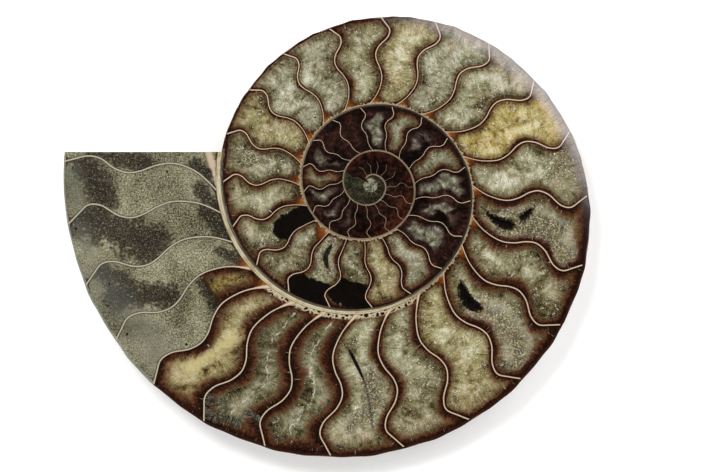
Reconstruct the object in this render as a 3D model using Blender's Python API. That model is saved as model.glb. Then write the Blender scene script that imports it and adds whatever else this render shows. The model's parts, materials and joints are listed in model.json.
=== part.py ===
"""Half of a sawn and polished ammonite fossil, lying on its rounded flank with the cut face up.

The shell wall is one spiral. Its radius is given at growth marks, and everything else follows from it: the
outline of the cut face, the flank with its ribs, the stepped umbilicus on the underside and the straight
break at the mouth. Two hollows in the chambers keep a crust of calcite crystals each.

Metres, +Z up. The origin is at the middle of the bounding box's underside, and the cut face is level.
"""

import math

import bmesh
import bpy
from mathutils import Vector

MM = 0.001

# The shell wall's radius from the coil's centre in mm, every eighth of a turn from the mouth inwards
MARK_STEP = 45.0
WALL_MARKS = (
    87.4, 83.8, 77.0, 69.2, 61.8, 53.5, 47.8, 44.6,
    43.0, 39.8, 35.6, 31.3, 28.5, 25.0, 22.8, 21.3,
    19.6, 17.5, 15.1, 13.7, 12.4, 11.0, 9.8, 8.8,
    7.7, 6.5, 5.5, 4.7, 4.2, 3.5, 3.0, 2.3, 1.7,
)
MOUTH_SLOWING = 0.3  # the last whorl hardly widens at the mouth
MOUTH_HEIGHT = 9.5 * MM  # the mouth is broken straight across, this far above the coil's centre

# The half's thickness below the cut face
FULL_DEPTH = 20.3 * MM
CENTRE_DEPTH = 4.5 * MM  # stone fills the umbilicus to this depth
DEPTH_REACH = 38.0 * MM  # the radius at which young, plump whorls turn into flatter ones

# One whorl's half section, along its radius from the umbilical seam to the outer edge at 1
SEAM = 0.29
SHOULDER = 0.39
CREST = 0.53
WHORL_RATIO = 2.03  # a wall's radius over that of the whorl inside it
FLANK_ROUND = 2.3
EDGE_ROUND = 1.8

# The polished rim is eased over
RIM_INSET = 1.5 * MM
RIM_MIDDLE = 0.4 * MM

# The flank's grid: rows go round the coil, and each pair of rows is a rib and its furrow
ROWS_PER_TURN = 96
TURNS = 3
OUTER_COLUMNS = 8
INNER_COLUMNS = 6
RIB_HEIGHT = 0.45 * MM
RIB_LEAN = 5.0  # degrees that a rib sweeps forward from mid-flank to the outer edge
RIB_WAVE = 1.6  # degrees that it bows on the inner flank
FLAT_ROWS = 10  # rows over which the ribs straighten to meet the mouth's break

# Each hollow: its centre line on the cut face from the coil's centre, in mm, its half width and its depth
UPPER_HOLLOW = (
    ((32.4, -7.0), (35.9, -10.1), (39.9, -11.1), (43.4, -9.0), (46.8, -5.6)),
    2.0 * MM,
    5.0 * MM,
)
LOWER_HOLLOW = (((25.4, -26.8), (26.7, -31.2), (29.2, -34.2), (33.4, -35.8)), 2.2 * MM, 5.5 * MM)
SLOT_HOLLOW = (((-6.3, -47.4), (-4.1, -51.1), (-1.4, -55.9)), 0.6 * MM, 2.5 * MM)
SMALL_HOLLOW = (((-11.1, -16.9), (-12.8, -20.3), (-12.2, -23.8)), 0.9 * MM, 2.0 * MM)
HOLLOW_STEPS = 12
HOLLOW_SIDES = 8
HOLLOW_END = 0.15

# The crust of crystals in a hollow
CRUST_GAP = 0.32 * MM
CRUST_THICKNESS = 0.4 * MM
CRYSTAL_HEIGHT = 0.5 * MM
CRUST_SUNK = 0.15 * MM
CRUST_TRIM = 0.09  # the share of the hollow's length left bare at each end

SHELL_BROWN = (0.20, 0.13, 0.08)
CALCITE_GREY = (0.42, 0.40, 0.28)


def lerp(a, b, share):
    return a + (b - a) * share


def smoothstep(share):
    share = min(1.0, max(0.0, share))
    return share * share * (3.0 - 2.0 * share)


def wall_radius(turn):
    """The shell wall's distance from the coil's centre, turn degrees inwards from the mouth's side."""
    place = turn / MARK_STEP
    mark = math.floor(place)
    share = place - mark

    def logged(index):
        last = len(WALL_MARKS) - 1
        if index < 0:
            first_step = math.log(WALL_MARKS[0] / WALL_MARKS[1])
            return math.log(WALL_MARKS[0]) - index * first_step * MOUTH_SLOWING
        return math.log(WALL_MARKS[min(index, last)])

    before, here, there, after = (logged(mark + k) for k in (-1, 0, 1, 2))
    square, cube = share * share, share * share * share
    curve = (
        here
        + 0.5 * (there - before) * share
        + (before - 2.5 * here + 2.0 * there - 0.5 * after) * square
        + (1.5 * here - 1.5 * there + 0.5 * after - 0.5 * before) * cube
    )
    return math.exp(curve) * MM


def whorl_depth(radius):
    """How far the flank's crest lies below the cut face where the wall has this radius."""
    return lerp(CENTRE_DEPTH, FULL_DEPTH, math.tanh(radius / DEPTH_REACH))


def flank_profile(share):
    """A whorl's depth as a share of its crest's, from 1 at the outer edge inwards to the crest."""
    if share <= CREST:
        return 1.0
    across = (share - CREST) / (1.0 - CREST)
    return max(0.0, 1.0 - across**FLANK_ROUND) ** (1.0 / EDGE_ROUND)


def flank_depth(radius, turn):
    """The flank's depth below the cut face at a radius, on the whorl whose wall is at turn."""
    wall = wall_radius(turn)
    return max(CENTRE_DEPTH, whorl_depth(wall) * flank_profile(radius / wall))


def mouth_angle(radius):
    """The angle at which the mouth's straight break crosses this radius."""
    return -math.degrees(math.asin(MOUTH_HEIGHT / radius))


def place(radius, angle, depth):
    """A point at a radius and an angle inwards from the mouth's side, below the cut face."""
    turned = math.radians(angle)
    return Vector((-radius * math.cos(turned), -radius * math.sin(turned), -depth))


MOUTH_TURN = mouth_angle(wall_radius(0.0))


def column_shares():
    """Where the columns cross a whorl, from the outer edge to the seam, as shares of the wall's radius."""
    covered = SEAM * WHORL_RATIO
    falls = [math.cos(0.5 * math.pi * k / OUTER_COLUMNS) ** 1.2 for k in range(OUTER_COLUMNS)]
    outer = [lerp(covered, 1.0, fall) for fall in falls]
    inner = [lerp(covered, SEAM, k / INNER_COLUMNS) for k in range(INNER_COLUMNS + 1)]
    return outer + inner


def rib_lean(column):
    """How far a rib has swept forward at a column, in degrees."""
    if column <= OUTER_COLUMNS:
        out = 1.0 - column / OUTER_COLUMNS
        return -RIB_LEAN * out * out
    inwards = (column - OUTER_COLUMNS) / INNER_COLUMNS
    return RIB_WAVE * math.sin(2.0 * math.pi * inwards)


def rib_weight(column):
    """How strong the ribs stand at a column: none at the rim and the seam, most on the outer flank."""
    if column <= 1:
        return 0.0
    if column <= OUTER_COLUMNS:
        return 1.0 - 0.5 * (column / OUTER_COLUMNS) ** 2
    return 0.5 * (1.0 - (column - OUTER_COLUMNS) / INNER_COLUMNS)


def break_weight(row):
    """1 on the two rows that meet the mouth's break, and 0 from FLAT_ROWS away on."""
    return 1.0 - smoothstep(min(row, abs(row - ROWS_PER_TURN)) / FLAT_ROWS)


def angle_on_break(share, turn):
    """Where a row at turn crosses the mouth's straight break, at a share of the wall's radius."""
    whole_turns = turn - MOUTH_TURN
    angle = turn
    for _ in range(12):
        angle = whole_turns + mouth_angle(wall_radius(angle) * share)
    return angle


def row_angle(row, column, share):
    """A grid point's angle. Rows follow the ribs, and near the mouth they bend to lie along its break."""
    turn = MOUTH_TURN + 360.0 * row / ROWS_PER_TURN
    weight = break_weight(row)
    leaning = turn + rib_lean(column) * (1.0 - weight)
    if weight == 0.0:
        return leaning
    if column > OUTER_COLUMNS and row > FLAT_ROWS:
        fading = 1.0 - (column - OUTER_COLUMNS) / INNER_COLUMNS
        seam = SEAM * WHORL_RATIO
        return leaning + weight * fading * (angle_on_break(seam, turn) - turn)
    return lerp(leaning, angle_on_break(share, turn), weight)


def flank_point(row, column, share):
    """The flank's surface at a row and a column."""
    angle = row_angle(row, column, share)
    wall = wall_radius(angle)
    radius = wall * share
    crest = whorl_depth(wall)
    if share >= SHOULDER:
        depth = crest * flank_profile(share)
    else:
        below = flank_depth(radius, angle + 360.0)
        fall = (SHOULDER - share) / (SHOULDER - SEAM)
        depth = lerp(crest, below, smoothstep(fall))
    ridge = 0.5 if row % 2 == 0 else -0.5
    rib = RIB_HEIGHT * rib_weight(column) * ridge * (1.0 - break_weight(row))
    return place(radius, angle, depth + rib * wall / wall_radius(0.0))


def new_object(name, mesh, colour, roughness):
    """An object of this mesh with a plain material of its own."""
    made = bpy.data.objects.new(name, mesh)
    bpy.context.scene.collection.objects.link(made)
    material = bpy.data.materials.new(name)
    material.use_nodes = True
    shader = material.node_tree.nodes["Principled BSDF"]
    shader.inputs["Base Color"].default_value = (*colour, 1.0)
    shader.inputs["Roughness"].default_value = roughness
    shader.inputs["Metallic"].default_value = 0.0
    mesh.materials.append(material)
    return made


def fossil_mesh():
    """The half ammonite as one closed body, its cut face at height 0 and the coil's centre at the origin."""
    build = bmesh.new()
    shares = column_shares()
    last_column = len(shares) - 1
    last_row = ROWS_PER_TURN * TURNS
    grid = {}
    for row in range(last_row + 1):
        first = 0 if row <= ROWS_PER_TURN else OUTER_COLUMNS
        for column in range(first, last_column + 1):
            if row >= ROWS_PER_TURN and column == OUTER_COLUMNS:
                grid[row, column] = grid[row - ROWS_PER_TURN, last_column]
            else:
                grid[row, column] = build.verts.new(flank_point(row, column, shares[column]))
    rim, inset = [], []
    for row in range(ROWS_PER_TURN + 1):
        edge = grid[row, 0].co
        outwards = Vector((edge.x, edge.y, 0.0)).normalized()
        if row in (0, ROWS_PER_TURN):
            outwards = Vector((-1.0, 0.0, 0.0))
        edge.z = -RIM_INSET
        level = Vector((edge.x, edge.y, 0.0))
        rim.append(build.verts.new(level - outwards * RIM_MIDDLE - Vector((0.0, 0.0, RIM_MIDDLE))))
        inset.append(build.verts.new(level - outwards * RIM_INSET))
    for row in range(last_row):
        first = 0 if row < ROWS_PER_TURN else OUTER_COLUMNS
        for column in range(first, last_column):
            here, across = grid[row, column], grid[row, column + 1]
            build.faces.new([here, across, grid[row + 1, column + 1], grid[row + 1, column]])
    for row in range(ROWS_PER_TURN):
        build.faces.new([rim[row], grid[row, 0], grid[row + 1, 0], rim[row + 1]])
        build.faces.new([inset[row], rim[row], rim[row + 1], inset[row + 1]])
    rims = loop_edges(build, inset)
    for hollow in (UPPER_HOLLOW, LOWER_HOLLOW, SLOT_HOLLOW, SMALL_HOLLOW):
        rims += sink_hollow(build, hollow)
    bmesh.ops.triangle_fill(build, edges=rims, use_beauty=True, normal=(0.0, 0.0, 1.0))
    start = [inset[0], rim[0]] + [grid[0, column] for column in range(last_column)]
    end = [grid[ROWS_PER_TURN, column] for column in range(OUTER_COLUMNS, -1, -1)]
    build.faces.new(start + end + [rim[ROWS_PER_TURN], inset[ROWS_PER_TURN]])
    cap = [grid[row, last_column] for row in range(last_row - ROWS_PER_TURN, last_row + 1)]
    cap += [grid[last_row, column] for column in range(last_column - 1, OUTER_COLUMNS, -1)]
    build.faces.new(cap)
    return finished(build, "ammonite_half")


def curve_through(points, share):
    """A point in metres and a unit direction on the smooth curve through points, a share of the way along."""
    count = len(points) - 1
    spot = min(share, 0.9999) * count
    index = int(spot)
    t = spot - index

    def at(k):
        return Vector(points[min(max(k, 0), count)])

    before, here, there, after = (at(index + k) for k in (-1, 0, 1, 2))
    middle = 0.5 * (
        2.0 * here
        + (there - before) * t
        + (2.0 * before - 5.0 * here + 4.0 * there - after) * t * t
        + (3.0 * here - 3.0 * there + after - before) * t * t * t
    )
    slope = 0.5 * (
        (there - before)
        + 2.0 * (2.0 * before - 5.0 * here + 4.0 * there - after) * t
        + 3.0 * (3.0 * here - 3.0 * there + after - before) * t * t
    )
    return middle * MM, slope.normalized()


def hollow_width(share):
    """A hollow's half width as a share of its widest, narrow at both ends."""
    return max(HOLLOW_END, math.sin(math.pi * share) ** 0.55)


def trough_rings(hollow, shrink=0.0, crystals=0.0, trim=0.0):
    """Half rings of points across a hollow, from end to end. Crystals stand inwards on every other point."""
    points, half_width, depth = hollow
    rings = []
    for step in range(HOLLOW_STEPS + 1):
        share = lerp(trim, 1.0 - trim, step / HOLLOW_STEPS)
        middle, along = curve_through(points, share)
        across = Vector((-along.y, along.x))
        width = half_width * hollow_width(share) - shrink
        deep = depth * hollow_width(share) - shrink
        ring = []
        for side in range(HOLLOW_SIDES + 1):
            turned = math.pi * side / HOLLOW_SIDES
            on_crystal = 0 < side < HOLLOW_SIDES and 0 < step < HOLLOW_STEPS and (side + step) % 2 == 0
            reach = 1.0 - min(0.5, crystals / width) if on_crystal else 1.0
            flat = middle + across * (width * math.cos(turned) * reach)
            ring.append(Vector((flat.x, flat.y, -deep * math.sin(turned) * reach)))
        rings.append(ring)
    return rings


def add_rings(build, rings, lower=0.0):
    """The rings' points as vertices, a little lower if asked."""
    return [[build.verts.new((p.x, p.y, p.z - lower)) for p in ring] for ring in rings]


def skin(build, rings):
    """Faces between neighbouring rings of vertices."""
    for one, other in zip(rings, rings[1:]):
        for a, b, c, d in zip(one, one[1:], other[1:], other):
            build.faces.new([a, b, c, d])


def loop_edges(build, loop):
    """The edges round a closed loop of vertices, made where they are missing."""
    found = []
    for one, other in zip(loop, loop[1:] + loop[:1]):
        found.append(build.edges.get((one, other)) or build.edges.new((one, other)))
    return found


def sink_hollow(build, hollow):
    """A hollow's walls and floor, open at the cut face. Gives the edges of its rim."""
    rings = add_rings(build, trough_rings(hollow))
    skin(build, rings)
    build.faces.new(rings[0])
    build.faces.new(rings[-1])
    rim = [ring[0] for ring in rings] + [ring[-1] for ring in reversed(rings)]
    return loop_edges(build, rim)


def crust_mesh(name, hollow):
    """The crust of crystals that lines a hollow, one closed body with its rim just below the cut face."""
    build = bmesh.new()
    outside = trough_rings(hollow, CRUST_GAP, trim=CRUST_TRIM)
    inside = trough_rings(hollow, CRUST_GAP + CRUST_THICKNESS, CRYSTAL_HEIGHT, CRUST_TRIM)
    outer = add_rings(build, outside, CRUST_SUNK)
    inner = add_rings(build, inside, CRUST_SUNK)
    skin(build, outer)
    skin(build, inner)
    for side in (0, -1):
        skin(build, [[ring[side] for ring in outer], [ring[side] for ring in inner]])
    for end in (0, -1):
        skin(build, [outer[end], inner[end]])
    return finished(build, name)


def finished(build, name):
    """The bmesh as a mesh of triangles with its faces pointing out."""
    bmesh.ops.recalc_face_normals(build, faces=build.faces)
    bmesh.ops.triangulate(build, faces=build.faces[:])
    mesh = bpy.data.meshes.new(name)
    build.to_mesh(mesh)
    build.free()
    return mesh


def main():
    for leftover in list(bpy.data.objects):
        bpy.data.objects.remove(leftover)
    fossil_body = fossil_mesh()
    corners = [vertex.co for vertex in fossil_body.vertices]
    middle_x = 0.5 * (min(c.x for c in corners) + max(c.x for c in corners))
    middle_y = 0.5 * (min(c.y for c in corners) + max(c.y for c in corners))
    lowest = min(c.z for c in corners)
    home = Vector((-middle_x, -middle_y, -lowest))
    fossil = new_object("ammonite_half", fossil_body, SHELL_BROWN, 0.3)
    fossil.location = home
    for name, hollow in (("crystals_upper_hollow", UPPER_HOLLOW), ("crystals_lower_hollow", LOWER_HOLLOW)):
        crust = new_object(name, crust_mesh(name, hollow), CALCITE_GREY, 0.2)
        crust.location = home


main()
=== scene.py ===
"""Half of a sawn and polished ammonite, lying on its flank with the cut face up.

The cut face is one flat sheet of stone in which the shell's spiral wall, the septa between the chambers and
what filled the chambers are all ground flush, so they are surfaces side by side and not raised parts.
"""

import json
import math

import bpy
import numpy as np
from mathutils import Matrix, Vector, geometry, kdtree


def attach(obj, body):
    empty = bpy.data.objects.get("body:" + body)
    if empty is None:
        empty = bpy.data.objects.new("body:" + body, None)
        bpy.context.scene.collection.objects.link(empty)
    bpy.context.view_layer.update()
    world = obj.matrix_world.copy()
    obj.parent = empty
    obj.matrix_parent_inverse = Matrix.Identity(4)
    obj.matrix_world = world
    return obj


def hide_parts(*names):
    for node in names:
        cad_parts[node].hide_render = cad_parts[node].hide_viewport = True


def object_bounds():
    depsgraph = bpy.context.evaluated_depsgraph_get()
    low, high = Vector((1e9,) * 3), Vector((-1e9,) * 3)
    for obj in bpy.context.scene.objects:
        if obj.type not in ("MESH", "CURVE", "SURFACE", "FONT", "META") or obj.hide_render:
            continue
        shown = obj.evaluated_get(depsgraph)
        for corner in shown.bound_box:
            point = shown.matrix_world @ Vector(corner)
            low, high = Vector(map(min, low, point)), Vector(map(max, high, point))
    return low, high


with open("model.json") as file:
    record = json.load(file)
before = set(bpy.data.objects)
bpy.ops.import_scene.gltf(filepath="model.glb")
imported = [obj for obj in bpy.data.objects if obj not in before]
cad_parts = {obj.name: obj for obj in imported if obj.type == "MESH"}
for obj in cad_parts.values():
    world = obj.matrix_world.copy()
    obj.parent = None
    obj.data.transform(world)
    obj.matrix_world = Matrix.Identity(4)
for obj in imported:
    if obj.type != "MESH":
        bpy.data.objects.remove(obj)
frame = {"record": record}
cad_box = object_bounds()


# The coil
# An ammonite grows as a widening tube coiled in one plane, so the saw shows one spiral wall. All that
# follows is placed by its turn, in degrees inwards from the mouth's side, and by its distance from the
# coil's centre.
MM = 0.001
COIL_CENTRE = Vector(frame["record"]["mounts"][0]["pos_m"])  # the mount on the cut face
MARK_STEP = 45.0
WALL_MARKS = (  # the wall's radius in mm, once every MARK_STEP degrees
    87.4, 83.8, 77.0, 69.2, 61.8, 53.5, 47.8, 44.6,
    43.0, 39.8, 35.6, 31.3, 28.5, 25.0, 22.8, 21.3,
    19.6, 17.5, 15.1, 13.7, 12.4, 11.0, 9.8, 8.8,
    7.7, 6.5, 5.5, 4.7, 4.2, 3.5, 3.0, 2.3, 1.7,
)
MOUTH_SLOWING = 0.3  # the last whorl hardly widens at the mouth
MOUTH_HEIGHT = 9.5  # the mouth is broken straight across, this far above the coil's centre


def mix(a, b, share):
    return a + (b - a) * share


def smoothstep(share):
    share = np.clip(share, 0.0, 1.0)
    return share * share * (3.0 - 2.0 * share)


def wall_radius(turn):
    """The shell wall's distance from the coil's centre in mm at a turn."""
    place = np.asarray(turn, float) / MARK_STEP
    mark = np.floor(place).astype(int)
    share = place - mark
    logs = np.log(WALL_MARKS)

    def logged(index):
        inside = logs[np.clip(index, 0, len(logs) - 1)]
        return np.where(index < 0, logs[0] - index * (logs[0] - logs[1]) * MOUTH_SLOWING, inside)

    before, here, there, after = (logged(mark + k) for k in (-1, 0, 1, 2))
    square, cube = share * share, share * share * share
    curve = (
        here
        + 0.5 * (there - before) * share
        + (before - 2.5 * here + 2.0 * there - 0.5 * after) * square
        + (1.5 * here - 1.5 * there + 0.5 * after - 0.5 * before) * cube
    )
    return np.exp(curve)


def at_turn(radius, turn):
    """The points of the cut face at radii and turns, in mm from the coil's centre."""
    turned = np.radians(turn)
    return np.stack([-radius * np.cos(turned), -radius * np.sin(turned)], axis=-1)


# The flank
# The outside of the shell's lower half: a low, rounded side with fine ribs that sweep forward to the edge.
# Around the coil's centre it drops back in steps, one whorl under the next. The polished rim is eased over.
FULL_DEPTH = 20.3
CENTRE_DEPTH = 4.5
DEPTH_REACH = 38.0
# Shares of the wall's radius at which a whorl meets the next one in, drops off to it, and is deepest
SEAM = 0.29
SHOULDER = 0.39
CREST = 0.53
WHORL_RATIO = 2.03
COVERED = SEAM * WHORL_RATIO  # the share at which the next whorl out meets this one
FLANK_ROUND = 2.3
EDGE_ROUND = 1.8
COLUMN_SPREAD = 1.2  # how fast the columns' spacing grows inwards from the edge
RIM = 0.22  # the rim is rounded over this much, and less where it meets the mouth's break
RIM_AT_BREAK = 0.15
RIM_FADE = 5.0
EDGE_FALL = 0.65  # at the right the wheel has taken more off the face towards its edge
FALL_REACH = 5.6
FALL_TURNS = (165.0, 205.0, 250.0, 290.0)
TURNS = 3
RIBS_PER_TURN = 48
ROWS_PER_RIB = 12
ROWS_PER_TURN = RIBS_PER_TURN * ROWS_PER_RIB
OUTER_COLUMNS = 16
INNER_COLUMNS = 10
RIB_HEIGHT = 0.45
RIB_LEAN = 5.0
RIB_WAVE = 1.6
FLAT_RIBS = 5  # the ribs straighten over this many of them to meet the mouth's break
SWELL = 0.12  # how far the flank swells and sinks along the coil
RESTING = 0.01  # the flank is worn level this far above what the fossil rests on
EDGE_WANDER = 0.16  # how far the natural outline wanders
BREAK_STEPS = 12


def flank_profile(share):
    """A whorl's depth as a share of its crest's, from the outer edge at 1 inwards to the crest."""
    across = np.clip((share - CREST) / (1.0 - CREST), 0.0, 1.0)
    return (1.0 - across**FLANK_ROUND) ** (1.0 / EDGE_ROUND)


def whorl_depth(radius):
    """How far the flank's crest lies below the cut face where the wall has this radius."""
    return mix(CENTRE_DEPTH, FULL_DEPTH, np.tanh(radius / DEPTH_REACH))


def mouth_angle(radius):
    """The turn at which the mouth's straight break crosses this radius."""
    return -np.degrees(np.arcsin(np.clip(MOUTH_HEIGHT / radius, -1.0, 1.0)))


def flank_layout():
    """Each flank point's row and column, its share of the way out and in, and of the wall's radius."""
    last_row, last_column = ROWS_PER_TURN * TURNS, OUTER_COLUMNS + INNER_COLUMNS
    rows, columns = np.meshgrid(np.arange(last_row + 1.0), np.arange(last_column + 1.0), indexing="ij")
    outwards = np.clip(columns / OUTER_COLUMNS, 0.0, 1.0)
    inwards = np.clip((columns - OUTER_COLUMNS) / INNER_COLUMNS, 0.0, 1.0)
    share = mix(COVERED, 1.0, np.cos(0.5 * np.pi * outwards) ** COLUMN_SPREAD)
    share = np.where(columns <= OUTER_COLUMNS, share, mix(COVERED, SEAM, inwards))
    return rows, columns, outwards, inwards, share


def flank_turns(rows, outwards, inwards, share):
    """Each flank point's turn, and how far it is drawn straight to meet the mouth's break."""
    mouth_turn = mouth_angle(wall_radius(0.0))
    turn = mouth_turn + 360.0 * rows / ROWS_PER_TURN

    def on_break(at_share):
        angle = turn
        for _ in range(BREAK_STEPS):
            angle = turn - mouth_turn + mouth_angle(wall_radius(angle) * at_share)
        return angle

    from_break = np.minimum(rows, abs(rows - ROWS_PER_TURN)) / (FLAT_RIBS * ROWS_PER_RIB)
    straight = 1.0 - smoothstep(from_break)
    waved, leant = RIB_WAVE * np.sin(2.0 * np.pi * inwards), -RIB_LEAN * (1.0 - outwards) ** 2
    leaning = turn + np.where(inwards > 0.0, waved, leant) * (1.0 - straight)
    angle = mix(leaning, on_break(share), straight)
    drawn = leaning + straight * (1.0 - inwards) * (on_break(COVERED) - turn)
    umbilical = (inwards > 0.0) & (rows > FLAT_RIBS * ROWS_PER_RIB)
    return np.where(umbilical, drawn, angle), straight


def flank_grid():
    """The flank's points in mm, by row round the coil and column across a whorl."""
    rows, columns, outwards, inwards, share = flank_layout()
    angle, straight = flank_turns(rows, outwards, inwards, share)
    wall = wall_radius(angle)
    radius = wall * share
    crest = whorl_depth(wall)
    next_wall = wall_radius(angle + 360.0)
    below = np.maximum(CENTRE_DEPTH, whorl_depth(next_wall) * flank_profile(radius / next_wall))
    fall = smoothstep((SHOULDER - share) / (SHOULDER - SEAM))
    depth = np.where(share >= SHOULDER, crest * flank_profile(share), mix(crest, below, fall))

    wave = np.cos(2.0 * np.pi * rows / ROWS_PER_RIB)
    ridge = 0.5 * (wave + 0.25 * np.cos(4.0 * np.pi * rows / ROWS_PER_RIB))
    stand = np.where(inwards > 0.0, 0.5 * (1.0 - inwards), 1.0 - 0.5 * outwards**2)
    stand = stand * smoothstep((columns - 1.0) / 3.0)
    ribs = RIB_HEIGHT * stand * ridge * (1.0 - straight)
    swell = SWELL * np.sin(angle * 0.31 + 2.0 * share) * smoothstep(columns / 4.0) * (1.0 - inwards)
    depth = depth + (ribs + swell) * wall / WALL_MARKS[0]
    depth = np.minimum(depth, COIL_CENTRE.z / MM - RESTING)
    edge = (columns == 0) * EDGE_WANDER * (1.0 - straight)
    radius = radius + edge * (np.sin(angle * 0.37) + 0.6 * np.sin(angle * 0.91 + 1.0) - 1.0)
    return np.concatenate([at_turn(radius, angle), -depth[..., None]], axis=-1)


class Body:
    """The points and faces of one closed mesh, with the material number of each face."""

    def __init__(self):
        self.points = []
        self.faces = []
        self.finishes = []

    def add_points(self, points):
        first = len(self.points)
        self.points.extend(tuple(float(part) for part in point) for point in points)
        return list(range(first, len(self.points)))

    def add_faces(self, faces, finish):
        self.faces.extend(tuple(face) for face in faces)
        self.finishes.extend([finish] * (len(self.faces) - len(self.finishes)))

    def skin(self, one, other, finish):
        """Faces between two rows of points."""
        self.add_faces(zip(one, one[1:], other[1:], other), finish)


def edge_fall(turns):
    """How far below the rest of the cut face its edge lies at a turn."""
    low, full, still, high = FALL_TURNS
    rise, drop = smoothstep((turns - low) / (full - low)), smoothstep((high - turns) / (high - still))
    return EDGE_FALL * rise * drop


CHAMBERS, BAND, EASED, PIT, FLANK, BREAK = range(6)
body = Body()
flank = flank_grid()
edge = flank[:ROWS_PER_TURN + 1, 0, :2]
edge_run = np.concatenate([[0.0], np.cumsum(np.linalg.norm(np.diff(edge, axis=0), axis=1))])
edge_rims = mix(RIM_AT_BREAK, RIM, smoothstep(np.minimum(edge_run, edge_run[-1] - edge_run) / RIM_FADE))
edge_turns = 360.0 * np.arange(ROWS_PER_TURN + 1) / ROWS_PER_TURN
flank[:ROWS_PER_TURN + 1, 0, 2] = -edge_rims - edge_fall(edge_turns)


def number_flank():
    """Adds the flank's points to the body. A whorl's inner seam is the next whorl's outer seam."""
    rows, columns = flank.shape[:2]
    numbers = -np.ones((rows, columns), int)
    for row in range(rows):
        first = 0 if row <= ROWS_PER_TURN else OUTER_COLUMNS
        if row >= ROWS_PER_TURN:
            numbers[row, OUTER_COLUMNS] = numbers[row - ROWS_PER_TURN, columns - 1]
            if row == ROWS_PER_TURN:
                numbers[row, :OUTER_COLUMNS] = body.add_points(flank[row, :OUTER_COLUMNS])
            first = OUTER_COLUMNS + 1
        numbers[row, first:] = body.add_points(flank[row, first:])
    return numbers


def face_flank(numbers):
    """The flank's faces, row by row, and the cap over the stone that fills the coil's centre."""
    rows, columns = numbers.shape
    for row in range(rows - 1):
        first = 0 if row < ROWS_PER_TURN else OUTER_COLUMNS
        body.skin(list(numbers[row, first:]), list(numbers[row + 1, first:]), FLANK)
    cap = list(numbers[rows - 1 - ROWS_PER_TURN:, columns - 1])
    cap += list(numbers[rows - 1, columns - 2:OUTER_COLUMNS:-1])
    body.add_faces([cap[::-1]], FLANK)


flank_numbers = number_flank()
face_flank(flank_numbers)


# The cut face
# One polished plane. The wall's band winds through it, and septa part the chambers between its turns: thin
# cream walls that meet the wall inside them at a foot, bow back, bulge forward, bow back and hook outside.
BAND_MARKS = (  # half the band's thickness in mm at a turn
    (0, 0.3), (50, 0.4), (90, 0.9), (170, 1.0), (205, 0.2), (338, 0.2), (348, 1.1), (400, 1.05),
    (440, 0.85), (480, 0.6), (520, 0.4), (600, 0.34), (720, 0.27), (1080, 0.2),
)
BAND_START = 346.0  # further out the band is the cut face's own edge
BAND_END = 1400.0
SEPTUM_TURNS = (
    -6.3, 4.7, 16.2, 27.7, 38.5, 50.5, 63.8, 77.5, 92.6, 107.6, 123.3, 140.2, 156.9, 173.7, 191.3, 209.2,
    227.5, 245.9, 264.1, 282.7, 301.5, 319.8, 338.0, 356.0, 373.6, 390.9, 407.9, 426.4, 445.5, 465.2, 485.7,
    508.0, 528.5, 548.3, 568.8, 590.2, 611.8, 634.0, 656.2, 677.2, 699.0, 718.8, 739.2, 761.0, 781.8, 803.2,
    827.0, 850.4, 873.4, 896.6, 919.8, 944.0, 967.4, 990.0, 1014.0, 1050.0, 1150.0, 1176.0, 1202.0,
    1228.0, 1256.0, 1284.0,
)
# How far a septum's foot, crest, second bow and hook lie ahead of its turn in degrees, by its turn
SEPTUM_SHAPES = (
    (-6, 8.0, 3.3, 0.4, 1.8), (5, 5.5, 3.0, -0.7, 2.6), (28, 6.5, 3.8, 1.0, 3.6),
    (45, 6.2, 4.7, 1.5, 4.2), (78, 6.5, 4.8, 1.0, 4.0), (110, 6.8, 4.9, 1.1, 5.2),
    (140, 6.7, 4.4, 0.2, 3.4), (157, 6.4, 3.8, -0.8, 2.4), (180, 6.4, 4.7, 0.4, 3.8),
    (210, 6.6, 4.2, 0.0, 3.6), (230, 6.8, 3.8, -0.9, 2.6), (300, 7.0, 3.6, -1.0, 2.2),
    (338, 5.2, 3.8, -0.8, 2.2), (374, 4.2, 4.1, -0.2, 3.0), (395, 0.8, 4.8, 0.5, 4.2),
    (426, -0.6, 5.4, 1.0, 5.0), (450, -2.5, 4.6, 2.2, 5.2), (486, -5.6, 4.8, 2.2, 4.8),
    (508, -6.6, 4.1, 0.7, 2.8), (550, -5.8, 4.0, 0.5, 2.6), (612, -6.5, 4.7, 0.4, 3.0),
    (660, -7.8, 5.0, 0.6, 4.2), (720, -8.6, 5.8, 2.0, 6.6), (760, -8.4, 6.2, 1.8, 5.8),
    (805, -7.0, 7.2, 2.4, 6.4), (850, -6.0, 7.6, 1.6, 3.4), (900, -3.4, 8.2, 0.8, 1.6),
    (1000, -3.4, 8.6, 1.0, 3.0), (1100, -2.0, 5.0, 1.0, 2.0),
)
SEPTUM_SHARES = np.linspace(0.0, 1.0, 61)
COARSE_GRAIN = 0.62
FINE_GRAIN = 0.4
FINE_RADIUS = 24.0
LINE_GRAIN = 0.5
ROW_STEP = 0.866  # how far apart the rows of even triangles stand, by their grain
JITTER = 0.12
CLEARANCE = 0.45  # how far a loose point stays from the lines, by the grain
CORNER_CLEARANCE = 0.25
RIM_RINGS = 2
CLOSE = 1e-4  # points nearer to each other than this are laid as one

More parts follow.
